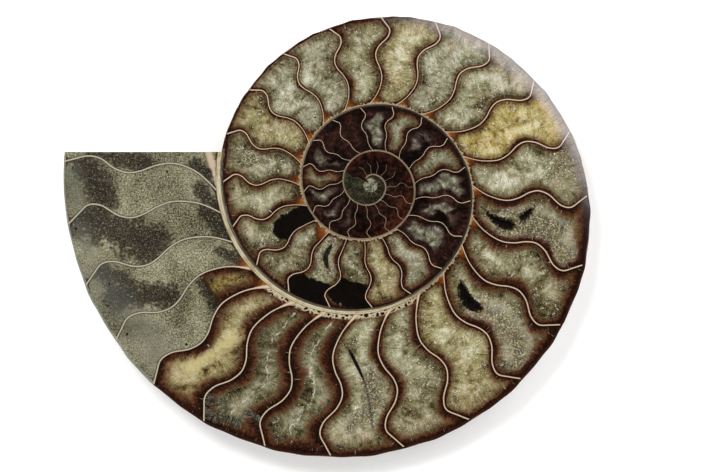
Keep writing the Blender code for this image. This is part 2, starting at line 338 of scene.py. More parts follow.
# Each hollow: its centre line on the cut face in mm from the coil's centre, its half width and its depth
HOLLOWS = {
    "upper": (((32.4, -7.0), (35.9, -10.1), (39.9, -11.1), (43.4, -9.0), (46.8, -5.6)), 2.0, 5.0),
    "lower": (((25.4, -26.8), (26.7, -31.2), (29.2, -34.2), (33.4, -35.8)), 2.2, 5.5),
    "slot": (((-6.2, -46.6), (-5.2, -48.6), (-3.6, -51.9), (-1.9, -55.4)), 0.6, 2.5),
    "small": (((-11.1, -16.9), (-12.8, -20.3), (-12.2, -23.8)), 0.9, 2.0),
}
HOLLOW_STEPS = 48
HOLLOW_SIDES = 12
HOLLOW_END = 0.15
HOLLOW_TAPER = 0.55
HOLLOW_JAG = 0.3
CENTRING_STEPS = 12


def band_half(turn):
    """Half the thickness in mm of the shell wall's band on the cut face."""
    turns, halves = zip(*BAND_MARKS)
    return np.interp(turn, turns, halves)


def chamber_floor(turn):
    """The inner edge of the chambers at a turn: the outside of the wall that lies one turn further in."""
    return wall_radius(turn + 360.0) + band_half(turn + 360.0)


def chamber_roof(turn):
    """The outer edge of the chambers at a turn: the inside of their own wall."""
    return wall_radius(turn) - band_half(turn)


def smooth_through(places, heights, spots):
    """A smooth curve through heights at places, read at spots."""
    steps = np.diff(places)
    rises = np.diff(heights) / steps
    middles = (rises[:-1] * steps[1:] + rises[1:] * steps[:-1]) / (steps[1:] + steps[:-1])
    slopes = np.concatenate([rises[:1], middles, rises[-1:]])
    slot = np.clip(np.searchsorted(places, spots, side="right") - 1, 0, len(steps) - 1)
    step = steps[slot]
    share = (spots - places[slot]) / step
    square, cube = share**2, share**3
    return (
        heights[slot] * (2.0 * cube - 3.0 * square + 1.0)
        + heights[slot + 1] * (3.0 * square - 2.0 * cube)
        + slopes[slot] * step * (cube - 2.0 * square + share)
        + slopes[slot + 1] * step * (cube - square)
    )


def septum_line(turn):
    """A septum's turns from its foot to its hook, at SEPTUM_SHARES of the way."""
    marks, *columns = zip(*SEPTUM_SHAPES)
    foot, crest, dip, hook = (float(np.interp(turn, marks, column)) for column in columns)
    stations = (
        (0.0, foot), (0.05, 0.62 * foot), (0.1, 0.34 * foot), (0.2, 0.06 * foot), (0.3, 0.0),
        (0.4, 0.32 * crest), (0.5, 0.84 * crest), (0.58, crest), (0.66, mix(crest, dip, 0.22)),
        (0.77, mix(crest, dip, 0.94)),
        (0.86, dip), (0.93, mix(dip, hook, 0.5)), (1.0, hook),
    )
    places, heights = (np.array(column) for column in zip(*stations))
    return turn + smooth_through(places, heights, SEPTUM_SHARES)


SEPTA = [septum_line(turn) for turn in SEPTUM_TURNS]


def septum_points(septum):
    """A septum's points on the cut face."""
    turns = SEPTA[septum]
    return at_turn(mix(chamber_floor(turns), chamber_roof(turns), SEPTUM_SHARES), turns)


def band_line(side):
    """One edge of the wall's band, in to the coil's centre: side is 1 outside and -1 inside."""
    first = BAND_START
    if side > 0:
        for _ in range(CENTRING_STEPS):
            first = 360.0 + float(mouth_angle(wall_radius(first) + band_half(first)))
    turns = [first]
    while turns[-1] < BAND_END:
        turns.append(turns[-1] + math.degrees(LINE_GRAIN / float(wall_radius(turns[-1]))))
    ends = [turns[-1] for turns in SEPTA] + [turns[0] + 360.0 for turns in SEPTA]
    turns = np.unique(turns + [turn for turn in ends if first < turn < BAND_END])
    return at_turn(wall_radius(turns) + side * band_half(turns), turns)


def curve_through(points, share):
    """A point and a unit direction on the smooth curve through points, a share of the way along."""
    points = np.array(points)
    count = len(points) - 1
    spot = min(share, 0.9999) * count
    index = int(spot)
    t = spot - index
    before, here, there, after = (points[min(max(index + k, 0), count)] for k in (-1, 0, 1, 2))
    second = 2.0 * before - 5.0 * here + 4.0 * there - after
    third = 3.0 * here - 3.0 * there + after - before
    middle = 0.5 * (2.0 * here + (there - before) * t + second * t**2 + third * t**3)
    slope = 0.5 * ((there - before) + 2.0 * second * t + 3.0 * third * t**2)
    return middle, slope / np.linalg.norm(slope)


def hollow_width(share):
    """How wide a hollow is a share of the way along it, from 0 to 1."""
    return max(HOLLOW_END, math.sin(math.pi * share) ** HOLLOW_TAPER)


def hollow_rings(hollow, seed):
    """Half rings of points across a hollow, from end to end, from one rim over its floor to the other."""
    points, half_width, depth = hollow
    draw = np.random.default_rng(seed)
    rings = []
    for step in range(HOLLOW_STEPS + 1):
        share = step / HOLLOW_STEPS
        middle, along = curve_through(points, share)
        across = np.array([-along[1], along[0]])
        narrow = hollow_width(share)
        turned = np.linspace(0.0, math.pi, HOLLOW_SIDES + 1)
        rough = 1.0 - HOLLOW_JAG * draw.random(HOLLOW_SIDES + 1)
        flat = middle + across * (half_width * narrow * np.cos(turned) * rough)[:, None]
        deep = depth * narrow * np.sin(turned) * rough
        deep[0] = deep[-1] = 0.0
        rings.append(np.column_stack([flat, -deep]))
    return rings


def inside_loop(points, loop):
    """Which points lie inside a closed loop."""
    inside = np.zeros(len(points), bool)
    for (ax, ay), (bx, by) in zip(loop, np.roll(loop, -1, axis=0)):
        crosses = (ay > points[:, 1]) != (by > points[:, 1])
        with np.errstate(divide="ignore", invalid="ignore"):
            reach = (bx - ax) * (points[:, 1] - ay) / (by - ay) + ax
        inside ^= crosses & (points[:, 0] < reach)
    return inside


def tree_of(points):
    """Finds the nearest of some points on the cut face."""
    tree = kdtree.KDTree(len(points))
    for number, point in enumerate(points):
        tree.insert((point[0], point[1], 0.0), number)
    tree.balance()
    return tree


def scatter(outline, lines):
    """Points spread evenly inside the outline, finer near the coil's centre and clear of the lines."""
    draw = np.random.default_rng(11)
    low, high = lines.min(axis=0), lines.max(axis=0)
    kept = []
    tree = tree_of(lines)
    for grain, fine in ((COARSE_GRAIN, False), (FINE_GRAIN, True)):
        across = np.arange(low[0], high[0], grain)
        upwards = np.arange(low[1], high[1], grain * ROW_STEP)
        grid_x, grid_y = np.meshgrid(across, upwards)
        grid_x[1::2] += 0.5 * grain
        points = np.column_stack([grid_x.ravel(), grid_y.ravel()])
        points += draw.uniform(-JITTER, JITTER, points.shape) * grain
        near = np.linalg.norm(points, axis=1) < FINE_RADIUS
        points = points[near if fine else ~near]
        points = points[inside_loop(points, outline)]
        kept += [p for p in points if tree.find((p[0], p[1], 0.0))[2] > CLEARANCE * grain]
    return np.array(kept)


def rim_rings():
    """Lines along the edge, further and further in, between which the rounded rim is laid in facets."""
    outwards = edge / np.linalg.norm(edge, axis=1, keepdims=True)
    outwards[0] = outwards[-1] = (-1.0, 0.0)
    lifts = 0.5 * math.pi * np.arange(1, RIM_RINGS + 1) / RIM_RINGS
    return [edge - outwards * (edge_rims * (1.0 - math.cos(lift)))[:, None] for lift in lifts]


def break_line(corners):
    """Points along the straight top edge of the mouth's break, through corners and between its two ends."""
    start, end = edge[-1], edge[0]
    count = int(np.linalg.norm(end - start) / COARSE_GRAIN)
    steps = [mix(start, end, k / count) for k in range(1, count)]
    room = CORNER_CLEARANCE * COARSE_GRAIN
    clear = [step for step in steps if min(abs(step[0] - corner[0]) for corner in corners) > room]
    between = [corner for corner in corners if end[0] < corner[0] < start[0]]
    return np.array(sorted(clear + between, key=lambda point: -point[0]))


def edge_distance(points):
    """How far points lie from the face's natural edge in mm, how wide its rim is there, and their turns."""
    tree = tree_of(edge)
    nearest = np.array([tree.find((point[0], point[1], 0.0))[1] for point in points])
    apart = np.full(len(points), np.inf)
    for start in (np.maximum(nearest - 1, 0), np.minimum(nearest, len(edge) - 2)):
        run = edge[start + 1] - edge[start]
        length = np.linalg.norm(run, axis=1)
        share = np.clip(((points - edge[start]) * run).sum(axis=1) / length**2, 0.0, 1.0)
        apart = np.minimum(apart, np.linalg.norm(points - edge[start] - share[:, None] * run, axis=1))
    return apart, edge_rims[nearest], 360.0 * nearest / ROWS_PER_TURN


def face_height(points):
    """The height of the cut face at points: level, rounded at its edge and falling away at the right."""
    apart, rims, turns = edge_distance(points)
    inwards = np.clip(1.0 - apart / rims, 0.0, 1.0)
    rounded = rims * (1.0 - np.sqrt(1.0 - inwards**2))
    return -rounded - edge_fall(turns) * np.clip(1.0 - apart / FALL_REACH, 0.0, 1.0) ** 2


def sink_hollows():
    """The hollows' walls and floors. Gives the loop of points round each rim."""
    rims = []
    for place, hollow in enumerate(HOLLOWS.values()):
        rows = [body.add_points(ring) for ring in hollow_rings(hollow, place)]
        for one, other in zip(rows, rows[1:]):
            body.skin(one, other, PIT)
        body.add_faces([rows[0][::-1], rows[-1]], PIT)
        rims.append([row[0] for row in rows] + [row[-1] for row in reversed(rows)])
    return rims


def triangulate(lines, filling, edges, numbers, close):
    """Triangles over points, split along edges. Gives the points as laid, the triangles, and each point's
    number in the body, which the first of the lines' points have already and the others lack."""
    spots = [Vector(point) for point in np.concatenate([lines, filling])]
    laid, _, triangles, origins, _, _ = geometry.delaunay_2d_cdt(spots, edges, [], 0, close)
    laid = np.array([tuple(point) for point in laid])
    triangles = np.array([tuple(face) for face in triangles if len(face) == 3])
    mapped = -np.ones(len(laid), int)
    for spot, sources in enumerate(origins):
        known = [source for source in sources if source < len(numbers)]
        if known:
            mapped[spot] = numbers[known[0]]
    return laid, triangles, mapped


def lay_face():
    """Triangles over the whole cut face, split along its edge, the band, the septa and the hollows' rims."""
    bands = [band_line(1), band_line(-1)]
    rings = rim_rings()
    across = break_line([bands[0][0]] + [ring[0] for ring in rings])
    outline = np.concatenate([edge, across])
    across_numbers = body.add_points(np.column_stack([across, face_height(across)]))
    loops = [list(flank_numbers[:ROWS_PER_TURN + 1, 0]) + across_numbers] + sink_hollows()
    rims = [np.array([body.points[number][:2] for number in loop]) for loop in loops[1:]]
    closed = [outline] + rims
    opened = bands + rings + [septum_points(septum) for septum in range(len(SEPTA))]
    numbers = [number for loop in loops for number in loop]
    edges, total = [], 0
    for line in closed + opened:
        edges += [(total + k, total + k + 1) for k in range(len(line) - 1)]
        if total < len(numbers):
            edges.append((total + len(line) - 1, total))
        total += len(line)
    lines = np.concatenate(closed + opened)
    laid, triangles, mapped = triangulate(lines, scatter(outline, lines), edges, numbers, CLOSE)
    middles = laid[triangles].mean(axis=1)
    kept = inside_loop(middles, outline)
    for rim in rims:
        kept &= ~inside_loop(middles, rim)
    triangles = triangles[kept]
    loose = np.unique(triangles[mapped[triangles] < 0])
    mapped[loose] = body.add_points(np.column_stack([laid[loose], face_height(laid[loose])]))
    corners = laid[triangles]
    first, second = corners[:, 1] - corners[:, 0], corners[:, 2] - corners[:, 0]
    upward = first[:, 0] * second[:, 1] - first[:, 1] * second[:, 0] > 0.0
    triangles = np.where(upward[:, None], triangles, triangles[:, ::-1])
    return laid, triangles, mapped, across_numbers


face_points, face_triangles, face_numbers, break_numbers = lay_face()


# What fills the chambers
# Calcite grew inwards from the walls of most chambers, in fibres that stand square to them and in browns
# that clear to grey-green. Mud filled the chambers by the mouth before it turned to stone.
# Each finish: how golden, how pale, how night-dark, the brown rim in mm, how veined, and how much mud.
# Where a chamber is night-dark, golden is how much it glows at its roof and pale how much it clears.
FINISHES = {
    "mud": (0.0, 0.0, 0.0, 0.45, 0.0, 1.0),
    "amber": (0.6, -0.15, 0.0, 1.8, 0.0, 1.0),
    "cream": (0.35, -0.02, 0.0, 1.9, 0.0, 0.0),
    "walnut": (0.0, -0.14, 0.0, 2.3, 1.0, 0.0),
    "green": (0.1, -0.05, 0.0, 1.1, 0.3, 0.0),
    "moss": (0.1, -0.1, 0.0, 1.2, 0.1, 0.0),
    "straw": (0.3, 0.03, 0.0, 0.85, 0.1, 0.0),
    "silver": (0.0, 0.05, 0.0, 0.6, 0.3, 0.0),
    "sage": (0.08, -0.04, 0.0, 0.7, 0.2, 0.0),
    "gold": (0.7, 0.07, 0.0, 0.65, 0.6, 0.0),
    "smoke": (0.05, -0.08, 0.05, 0.75, 0.2, 0.0),
    "milk": (0.0, 0.06, 0.1, 1.1, 0.2, 0.0),
    "dusk": (0.0, 0.95, 1.0, 0.8, 0.0, 0.0),
    "night": (0.0, 0.6, 1.0, 1.0, 0.0, 0.0),
    "gloom": (0.1, 0.45, 1.0, 1.0, 0.0, 0.0),
    "coal": (0.1, 0.16, 1.0, 1.2, 0.0, 0.0),
    "ember": (0.6, 0.0, 1.0, 0.6, 0.0, 0.0),
    "core": (0.0, 0.0, 1.0, 0.3, 0.0, 0.0),
}
# By chamber, inwards from the mouth
CHAMBER_FINISHES = (
    ["mud"] * 4 + ["amber", "cream", "walnut", "walnut", "green", "green", "straw"] + ["moss"] * 3
    + ["sage", "gold", "sage", "silver", "straw", "green", "silver", "silver", "straw", "smoke", "green"]
    + ["smoke"] * 4 + ["straw", "milk", "night", "gloom", "dusk", "milk", "gloom", "milk", "dusk"]
    + ["coal", "coal", "night", "milk", "dusk", "night", "night"] + ["ember"] * 11 + ["core"] * 7
)
CORE_CHAMBER = 56
NUCLEUS = 2.4  # the radius in mm of the pale middle of the coil
NUCLEUS_BLUR = 0.7
CORE_SHARES = (1.0, 0.5)  # how much of the core's mud its first chamber has, and the ones inside it
FAINT_SEPTA = 50  # from here inwards the septa don't reach the outer wall
FAINT_REACH = (0.5, 0.7)
SEPTUM_HALVES = (  # half a septum's thickness in mm at a radius
    (0.0, 0.04), (12.0, 0.06), (22.0, 0.09), (30.0, 0.115), (45.0, 0.19), (88.0, 0.21),
)
SHELL_MARKS = (  # how wide the shell's brown rim is at a turn
    (0, 0.35), (45, 0.5), (75, 0.9), (162, 0.9), (178, 0.6), (205, 0.3), (216, 0.04), (246, 0.04),
    (264, 0.4), (360, 0.4),
)
FLARED_CHAMBERS = (4, 9)
FLARE = 4.0  # how much wider the septa of these chambers grow at their feet
FLARE_SHARE = 0.1
AMBER_CHAMBER = 4
LEVEL = 0.05  # the edge counts as level where it falls less than this
AMBER_REACH = (51.5, 58.0)
RIM_SCALES = (  # how much thicker than its finish says a chamber's brown rim is, by chamber
    (0, 1.0), (7, 1.0), (9, 1.15), (13, 1.25), (15, 1.2), (16, 0.8), (24, 0.75), (26, 0.95), (60, 1.0),
)
RIM_SHARPNESS = 0.55
WEDGE = 5.4  # how far in mm the amber reaches from a septum's foot
FAR = 20.0  # what a point reads that isn't near the shell's edge
NO_BORDER = 9.0  # in mm, where a chamber has no septum at its end
NO_FILL = -5.0  # in mm, outside the black fills
MARKED_DEPTH = 2.0  # how far below the cut face points still read the distance to its edge
CHAMBER_SHIFT, SIDE_SHIFT = 13.7, 31.1  # these keep the fibres of two walls from running on alike
FIRST_TURN, LAST_TURN = -12.0, 1330.0  # where the first chamber begins and the last one ends
BREAK_GRAIN = 0.9
BREAK_CLEARANCE = 0.45
BREAK_CLOSE = 1e-5
BREAK_SPAN = (-88.0, -12.0)  # how far the break reaches across, and down from the cut face
BREAK_DROP = (-20.0, -0.5)
LINES_PER_RIB = 2.5  # growth lines on the flank
GROWTH_ACROSS = 0.12
SHARP_ANGLE = 21.0


def distance_to(points, line):
    """How far points lie from a line, and how far along it the nearest spots are, in mm."""
    apart = np.full(len(points), np.inf)
    along = np.zeros(len(points))
    travelled = 0.0
    for start, end in zip(line, line[1:]):
        run = end - start
        length = np.linalg.norm(run)
        if length == 0.0:
            continue
        share = np.clip((points - start) @ run / length**2, 0.0, 1.0)
        away = np.linalg.norm(points - start - share[:, None] * run, axis=1)
        nearer = away < apart
        apart[nearer] = away[nearer]
        along[nearer] = travelled + share[nearer] * length
        travelled += length
    return apart, along


BLACK_FILLS = {
    25: (((-24.5, -12.1), (-16.5, -7.8)), 3.5),
    27: (((-21.6, -30.0), (-13.9, -32.9)), 5.0),
    28: (((-8.8, -30.0), (-2.6, -32.0)), 3.7),
}
SPREADING = ("painted_sheen", "shell")  # the other strokes keep to the chamber that holds their middle
STROKES = {
    "druse": (
        (((39.0, -11.0), (46.0, -13.0), (52.0, -16.5), (57.5, -21.5)), 5.6),
        (((41.0, -8.5), (47.0, -9.0), (54.0, -12.5)), 4.0),
        (((31.0, -35.5), (37.0, -38.0), (41.0, -43.0), (42.5, -49.0)), 6.0),
        (((0.2, -54.0), (1.2, -60.0), (-0.4, -66.0)), 4.2),
        (((-2.0, -64.0), (-6.0, -69.0)), 3.4),
        (((51.0, 2.5), (54.0, 6.5), (54.5, 9.5)), 3.4),
        (((-11.4, -16.5), (-13.6, -20.5), (-12.0, -24.5)), 2.6),
        (((-35.0, 8.0), (-30.0, 6.5)), 2.6),
        (((-31.5, -18.5), (-29.0, -14.0)), 1.4),
    ),
    "crack": (
        (((-6.8, -46.0), (-4.1, -51.1), (-1.4, -56.5), (-0.4, -62.0), (0.6, -69.5)), 0.9),
        (((-9.9, -41.5), (-6.3, -47.4)), 0.5),
    ),
    "sun": (
        (((-36.5, -42.0), (-43.5, -46.5), (-52.0, -52.0)), 5.0),
    ),
    "grey": (
        (((-49.0, -60.0), (-42.0, -62.5)), 3.4),
        (((-35.0, -64.5), (-29.0, -69.0)), 3.0),
        (((-48.0, -64.5), (-38.0, -67.5)), 3.0),
    ),
    "stain": (
        (((-71.5, 8.0), (-64.5, 6.5)), 4.2),
        (((-80.0, 9.0), (-75.0, 8.0)), 2.0),
        (((-50.7, 6.5), (-46.7, 3.5)), 3.4),
        (((-81.5, 5.5), (-76.0, -3.5)), 6.5),
        (((-48.5, -1.0), (-44.0, -6.0)), 3.2),
        (((-82.0, -8.0), (-62.0, -17.0)), 9.5),
        (((-79.0, -8.0), (-70.0, -15.0)), 7.0),
        (((-46.8, -7.5), (-42.5, -13.0)), 3.8),
        (((-73.0, -31.0), (-57.5, -31.5)), 5.6),
        (((-43.0, -18.5), (-38.5, -20.5)), 2.2),
        (((-78.0, -24.0), (-70.0, -27.0)), 4.0),
        (((-48.0, -28.0), (-44.0, -34.0)), 3.0),
    ),
    # Painted sheen: a paler, softer haze on the mud at the lower left, standing in for light reflected by the
    # polish.
    "painted_sheen": (
        (((-85.0, 3.0), (-84.0, -5.0)), 5.0),
        (((-83.0, -12.0), (-80.0, -19.0)), 4.5),
        (((-78.0, -26.0), (-68.0, -38.0)), 9.0),
        (((-65.0, -41.0), (-55.0, -54.0)), 9.0),
    ),
    "shell": (
        (((-46.2, 9.6), (-45.0, 5.6)), 2.3),
        (((-45.6, 8.0), (-43.7, 0.2)), 1.2),
    ),
}


def stroke_strength(points, strokes):
    """How strongly a set of brush strokes covers each point, from 0 to 1."""
    strength = np.zeros(len(points))
    for line, width in strokes:
        apart, _ = distance_to(points, np.array(line))
        strength = np.maximum(strength, 1.0 - smoothstep(apart / width))
    return strength


def turns_of(points):
    """Each point's turn, its radius, and whether it lies in the wall's band."""
    radius = np.linalg.norm(points, axis=1)
    around = np.degrees(np.arctan2(-points[:, 1], -points[:, 0])) % 360.0
    around = np.where(around - 360.0 >= mouth_angle(np.maximum(radius, 12.0)), around - 360.0, around)
    turn = around.copy()
    for whorl in (1, 2, 3):
        further = around + 360.0 * whorl
        turn = np.where(wall_radius(further) + band_half(further) >= radius, further, turn)
    in_band = (turn > BAND_START) & (radius >= chamber_roof(turn))
    return turn, radius, in_band


def chamber_of(points):
    """Each point's chamber, numbered from the mouth, its share across, its turn, and if it is in the band."""
    turn, radius, in_band = turns_of(points)
    floor, roof = chamber_floor(turn), chamber_roof(turn)
    share = np.clip((radius - floor) / (roof - floor), 0.0, 1.0)
    chamber = np.zeros(len(points), int)
    for line in SEPTA:
        chamber += np.interp(share, SEPTUM_SHARES, line) <= turn
    return chamber, share, turn, in_band


def bump(share, centre, width):
    return np.exp(-(((share - centre) / width) ** 2))


def borders_of(chamber):
    """A chamber's four borders: the septum before it, the septum after it, its floor and its roof."""
    first = SEPTA[chamber - 1] if chamber > 0 else np.full(len(SEPTUM_SHARES), FIRST_TURN)
    second = SEPTA[chamber] if chamber < len(SEPTA) else np.full(len(SEPTUM_SHARES), LAST_TURN)
    below = np.linspace(first[0] - 2.0, second[0] + 2.0, 24)
    above = np.linspace(first[-1] - 2.0, second[-1] + 2.0, 24)
    before = septum_points(chamber - 1) if chamber > 0 else None
    after = septum_points(chamber) if chamber < len(SEPTA) else None
    return before, after, at_turn(chamber_floor(below), below), at_turn(chamber_roof(above), above)


def rim_swell(before, after, share):
    """How much thicker a chamber's brown rim is in the bows of the septa beside it."""
    by_first = 0.75 + 0.9 * bump(share, 0.56, 0.15) + 0.4 * bump(share, 1.0, 0.12)
    by_second = 0.75 + 0.9 * bump(share, 0.28, 0.17) + 0.9 * bump(share, 0.86, 0.12)
    return mix(by_second, by_first, after / (before + after + 1e-6))


def septum_nearness(chamber, apart, share, radius):
    """How far points lie from a septum, counted in halves of its thickness."""
    half = np.interp(radius, *zip(*SEPTUM_HALVES))
    if FLARED_CHAMBERS[0] <= chamber <= FLARED_CHAMBERS[1]:
        half = half * (1.0 + FLARE * np.clip(1.0 - share / FLARE_SHARE, 0.0, 1.0) ** 2)
    if chamber < FAINT_SEPTA:
        return apart / half
    low, high = FAINT_REACH
    return apart / half + 2.0 * smoothstep((share - low) / (high - low)) + 0.3


def distances_to(points, lines):
    """How far points lie from each of four borders, and how far along it, in mm."""
    none = (np.full(len(points), NO_BORDER), np.zeros(len(points)))
    apart, along = zip(*(none if line is None else distance_to(points, line) for line in lines))
    return np.stack(apart), np.stack(along)


def measure_band(values, chosen):
    """How far across and along the wall's band its triangles lie, and half its thickness there."""
    spots, corner = np.unique(face_triangles[chosen], return_inverse=True)
    corner = corner.reshape(-1, 3)
    turn, radius, _ = turns_of(mix(face_points[spots], 0.0, 0.001))
    half = band_half(turn)
    values["across"][chosen] = np.clip((radius - wall_radius(turn)) / half, -1.0, 1.0)[corner]
    values["along_band"][chosen] = (np.radians(turn) * radius)[corner]
    values["inner"][chosen] = half[corner]


def measure_chamber(values, chamber, chosen, middles, held_by):
    """One chamber's distances, marks and finish, at the corners of its triangles."""
    spots, corner = np.unique(face_triangles[chosen], return_inverse=True)
    corner = corner.reshape(-1, 3)
    points = face_points[spots]
    radius = np.linalg.norm(points, axis=1)
    _, share, _, _ = chamber_of(points)
    borders = borders_of(chamber)
    apart, along = distances_to(points, borders)
    before, after, floor, _ = apart
    softened = -RIM_SHARPNESS * np.log(np.exp(-apart / RIM_SHARPNESS).sum(axis=0))
    gold, pale, night, rim, vein, mud = FINISHES[CHAMBER_FINISHES[chamber]]
    rim = rim * np.interp(chamber, *zip(*RIM_SCALES)) * rim_swell(before, after, share)
    values["edge"][chosen] = np.maximum(softened, 0.0)[corner]
    nearness = septum_nearness(chamber, np.minimum(before, after), share, radius)
    values["septum"][chosen] = nearness[corner]
    values["rim"][chosen] = rim[corner]
    values["inner"][chosen] = floor[corner]
    values["across"][chosen] = share[corner]
    values["middle"][chosen] = (0.5 * (before - after))[corner]
    if chamber >= CORE_CHAMBER:
        full = CORE_SHARES[chamber > CORE_CHAMBER]
        inmost = smoothstep((NUCLEUS - radius) / NUCLEUS_BLUR)
        values["core"][chosen] = (full + (2.0 - full) * inmost)[corner]
    for name, strokes in STROKES.items():
        held = [
            stroke for stroke, at in zip(strokes, held_by[name]) if at == chamber or name in SPREADING
        ]
        values[name][chosen] = stroke_strength(points, held)[corner]
    if borders[1] is not None:
        size = WEDGE * min(1.0, 0.3 + float(wall_radius(SEPTUM_TURNS[chamber])) / 60.0)
        foot = np.linalg.norm(points - borders[1][0], axis=1)
        values["wedge"][chosen] = np.clip(1.0 - foot / size, 0.0, 1.0)[corner]
    nearest = np.argmin(distances_to(middles[chosen], borders)[0], axis=0)
    side = nearest[:, None] * np.ones((1, 3), int)
    values["fibre"][chosen, :, 0] = along[side, corner] + CHAMBER_SHIFT * chamber + SIDE_SHIFT * side
    values["fibre"][chosen, :, 1] = apart[side, corner]
    values["fibre"][chosen, :, 2] = chamber
    values["tint"][chosen] = (gold, pale, night)
    if chamber == AMBER_CHAMBER:
        low, high = AMBER_REACH
        mud = smoothstep((radius - low) / (high - low))[corner]
    values["habit"][chosen, :, 0] = vein
    values["habit"][chosen, :, 1] = mud
    values["habit"][chosen, :, 2] = NO_FILL
    if chamber in BLACK_FILLS:
        stroke, width = BLACK_FILLS[chamber]
        values["habit"][chosen, :, 2] = (width - distance_to(points, np.array(stroke))[0])[corner]


def measure_face():
    """Distances and finishes at every corner of the cut face's triangles, as its materials read them."""
    middles = face_points[face_triangles].mean(axis=1)
    chambers, _, _, in_band = chamber_of(middles)
    count = len(face_triangles)
    names = ("edge", "septum", "rim", "wedge", "middle", "inner", "across", "along_band", "core")
    values = {name: np.zeros((count, 3)) for name in names + tuple(STROKES)}
    values.update({name: np.zeros((count, 3, 3)) for name in ("fibre", "tint", "habit")})
    held_by = {}
    for name, strokes in STROKES.items():
        centres = np.array([0.5 * (np.array(line[0]) + line[-1]) for line, _ in strokes])
        held_by[name] = chamber_of(centres)[0]
    for chamber in range(len(SEPTA) + 1):
        chosen = np.nonzero((chambers == chamber) & ~in_band)[0]
        if len(chosen):
            measure_chamber(values, chamber, chosen, middles, held_by)
    measure_band(values, np.nonzero(in_band)[0])
    return values, in_band


def fill_break():
    """The mouth's break: a rough plane square to the cut face. Gives its points' distances to the shell."""
    columns = flank_numbers.shape[1]
    loop = list(flank_numbers[0, :columns - 1]) + list(flank_numbers[ROWS_PER_TURN, OUTER_COLUMNS::-1])
    shell_length = len(loop)
    loop += break_numbers
    outline = np.array([(body.points[number][0], body.points[number][2]) for number in loop])
    filling = []
    for z in np.arange(*BREAK_DROP, BREAK_GRAIN):
        for x in np.arange(*BREAK_SPAN, BREAK_GRAIN):
            filling.append((x + 0.3 * math.sin(7.0 * z + x), z + 0.25 * math.sin(5.0 * x)))
    filling = np.array(filling)
    filling = filling[inside_loop(filling, outline)]
    room = [np.linalg.norm(outline - point, axis=1).min() > BREAK_CLEARANCE for point in filling]
    edges = [(k, (k + 1) % len(loop)) for k in range(len(loop))]
    laid, triangles, mapped = triangulate(outline, filling[room], edges, loop, BREAK_CLOSE)
    for spot in np.nonzero(mapped < 0)[0]:
        x, z = laid[spot]
        rough = 0.16 * math.sin(1.3 * x + 0.9 * z) + 0.12 * math.sin(2.9 * z - 1.1 * x) - 0.3
        mapped[spot] = body.add_points([(x, MOUTH_HEIGHT + rough, z)])[0]
    inside = inside_loop(laid[triangles].mean(axis=1), outline)
    body.add_faces(mapped[triangles[inside]][:, ::-1], BREAK)
    apart, _ = distance_to(laid, outline[:shell_length])
    return dict(zip(mapped, apart))


from_shell = fill_break()
measures, band_faces = measure_face()
from_edge, rims_there, turns_there = edge_distance(face_points[face_triangles].mean(axis=1))
rim_faces = (from_edge < rims_there) & (edge_fall(turns_there) < LEVEL)
for triangle, banded, eased in zip(face_numbers[face_triangles], band_faces, rim_faces):
    body.add_faces([triangle], EASED if eased else BAND if banded else CHAMBERS)


def keep_on(mesh, domain, name, values):
    """Keeps values on a mesh's points or corners, for its materials to read."""
    kind, entry = ("FLOAT_VECTOR", "vector") if values.ndim == 2 else ("FLOAT", "value")
    mesh.attributes.new(name, kind, domain).data.foreach_set(entry, values.ravel())


def make_mesh():
    """The fossil's mesh in metres, with the measures that its materials read."""
    mesh = bpy.data.meshes.new("ammonite_half_fossil")
    points = np.array(body.points)
    placed = points * MM + np.array(COIL_CENTRE)
    mesh.from_pydata([tuple(point) for point in placed], [], [tuple(map(int, face)) for face in body.faces])
    mesh.polygons.foreach_set("material_index", body.finishes)
    laid = 3 * len(face_triangles)  # the cut face's corners are the mesh's last
    for name, value in measures.items():
        corners = np.zeros((len(mesh.loops),) + value.shape[2:])
        corners[-laid:] = value.reshape((laid,) + value.shape[2:])
        keep_on(mesh, "CORNER", name, corners)
    level = points[:, 2] > -MARKED_DEPTH
    apart, _, turns = edge_distance(points[level, :2])
    outer, fall, framed = np.full(len(points), FAR), np.zeros(len(points)), np.full(len(points), FAR)
    outer[level] = apart / np.interp(turns, *zip(*SHELL_MARKS))
    fall[level] = edge_fall(turns) / EDGE_FALL * np.clip(1.0 - apart / FALL_REACH, 0.0, 1.0)
    framed[list(from_shell)] = list(from_shell.values())
    keep_on(mesh, "POINT", "outer", outer)
    keep_on(mesh, "POINT", "fall", fall)
    keep_on(mesh, "POINT", "from_shell", framed)
    known = flank_numbers >= 0
    row, column = np.nonzero(known)
    around = 2.0 * np.pi * row / ROWS_PER_TURN
    rib, growth = np.zeros(len(points)), np.zeros((len(points), 3))
    rib[flank_numbers[known]] = np.cos(RIBS_PER_TURN * around)
    reach = RIBS_PER_TURN * LINES_PER_RIB / (2.0 * np.pi)
    ahead, aside = reach * np.cos(around), reach * np.sin(around)
    growth[flank_numbers[known]] = np.stack([ahead, aside, GROWTH_ACROSS * column], axis=1)
    keep_on(mesh, "POINT", "rib", rib)
    keep_on(mesh, "POINT", "growth", growth)
    mesh.polygons.foreach_set("use_smooth", [True] * len(mesh.polygons))
    mesh.set_sharp_from_angle(angle=math.radians(SHARP_ANGLE))
    mesh.validate()
    return mesh


fossil = bpy.data.objects.new("ammonite_half_fossil", make_mesh())
bpy.context.scene.collection.objects.link(fossil)
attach(fossil, "root")
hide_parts("ammonite_half")


# The polished stone
# What the saw and the wheel left: calcite fibres, brown where they meet the shell, cream septa, mud, and
# black fills. It is all one sheet, so its materials differ in colour and gloss and hardly in height.
SHOWN_BRIGHTER = 1.55  # the studio's light shows a surface this much brighter than it is
LOOPED_CHAMBERS = (4.5, 9.5)
FRINGED_CHAMBERS = (8.5, 30.5)
WEDGED_CHAMBERS = (2.5, 26.5)
CROSSED_BELOW = 28  # the chambers further in have no veins across
FILL_DEEP = 3.5  # how far in from its rim in mm a chamber's calcite is at its palest
STONE_IOR = 1.54


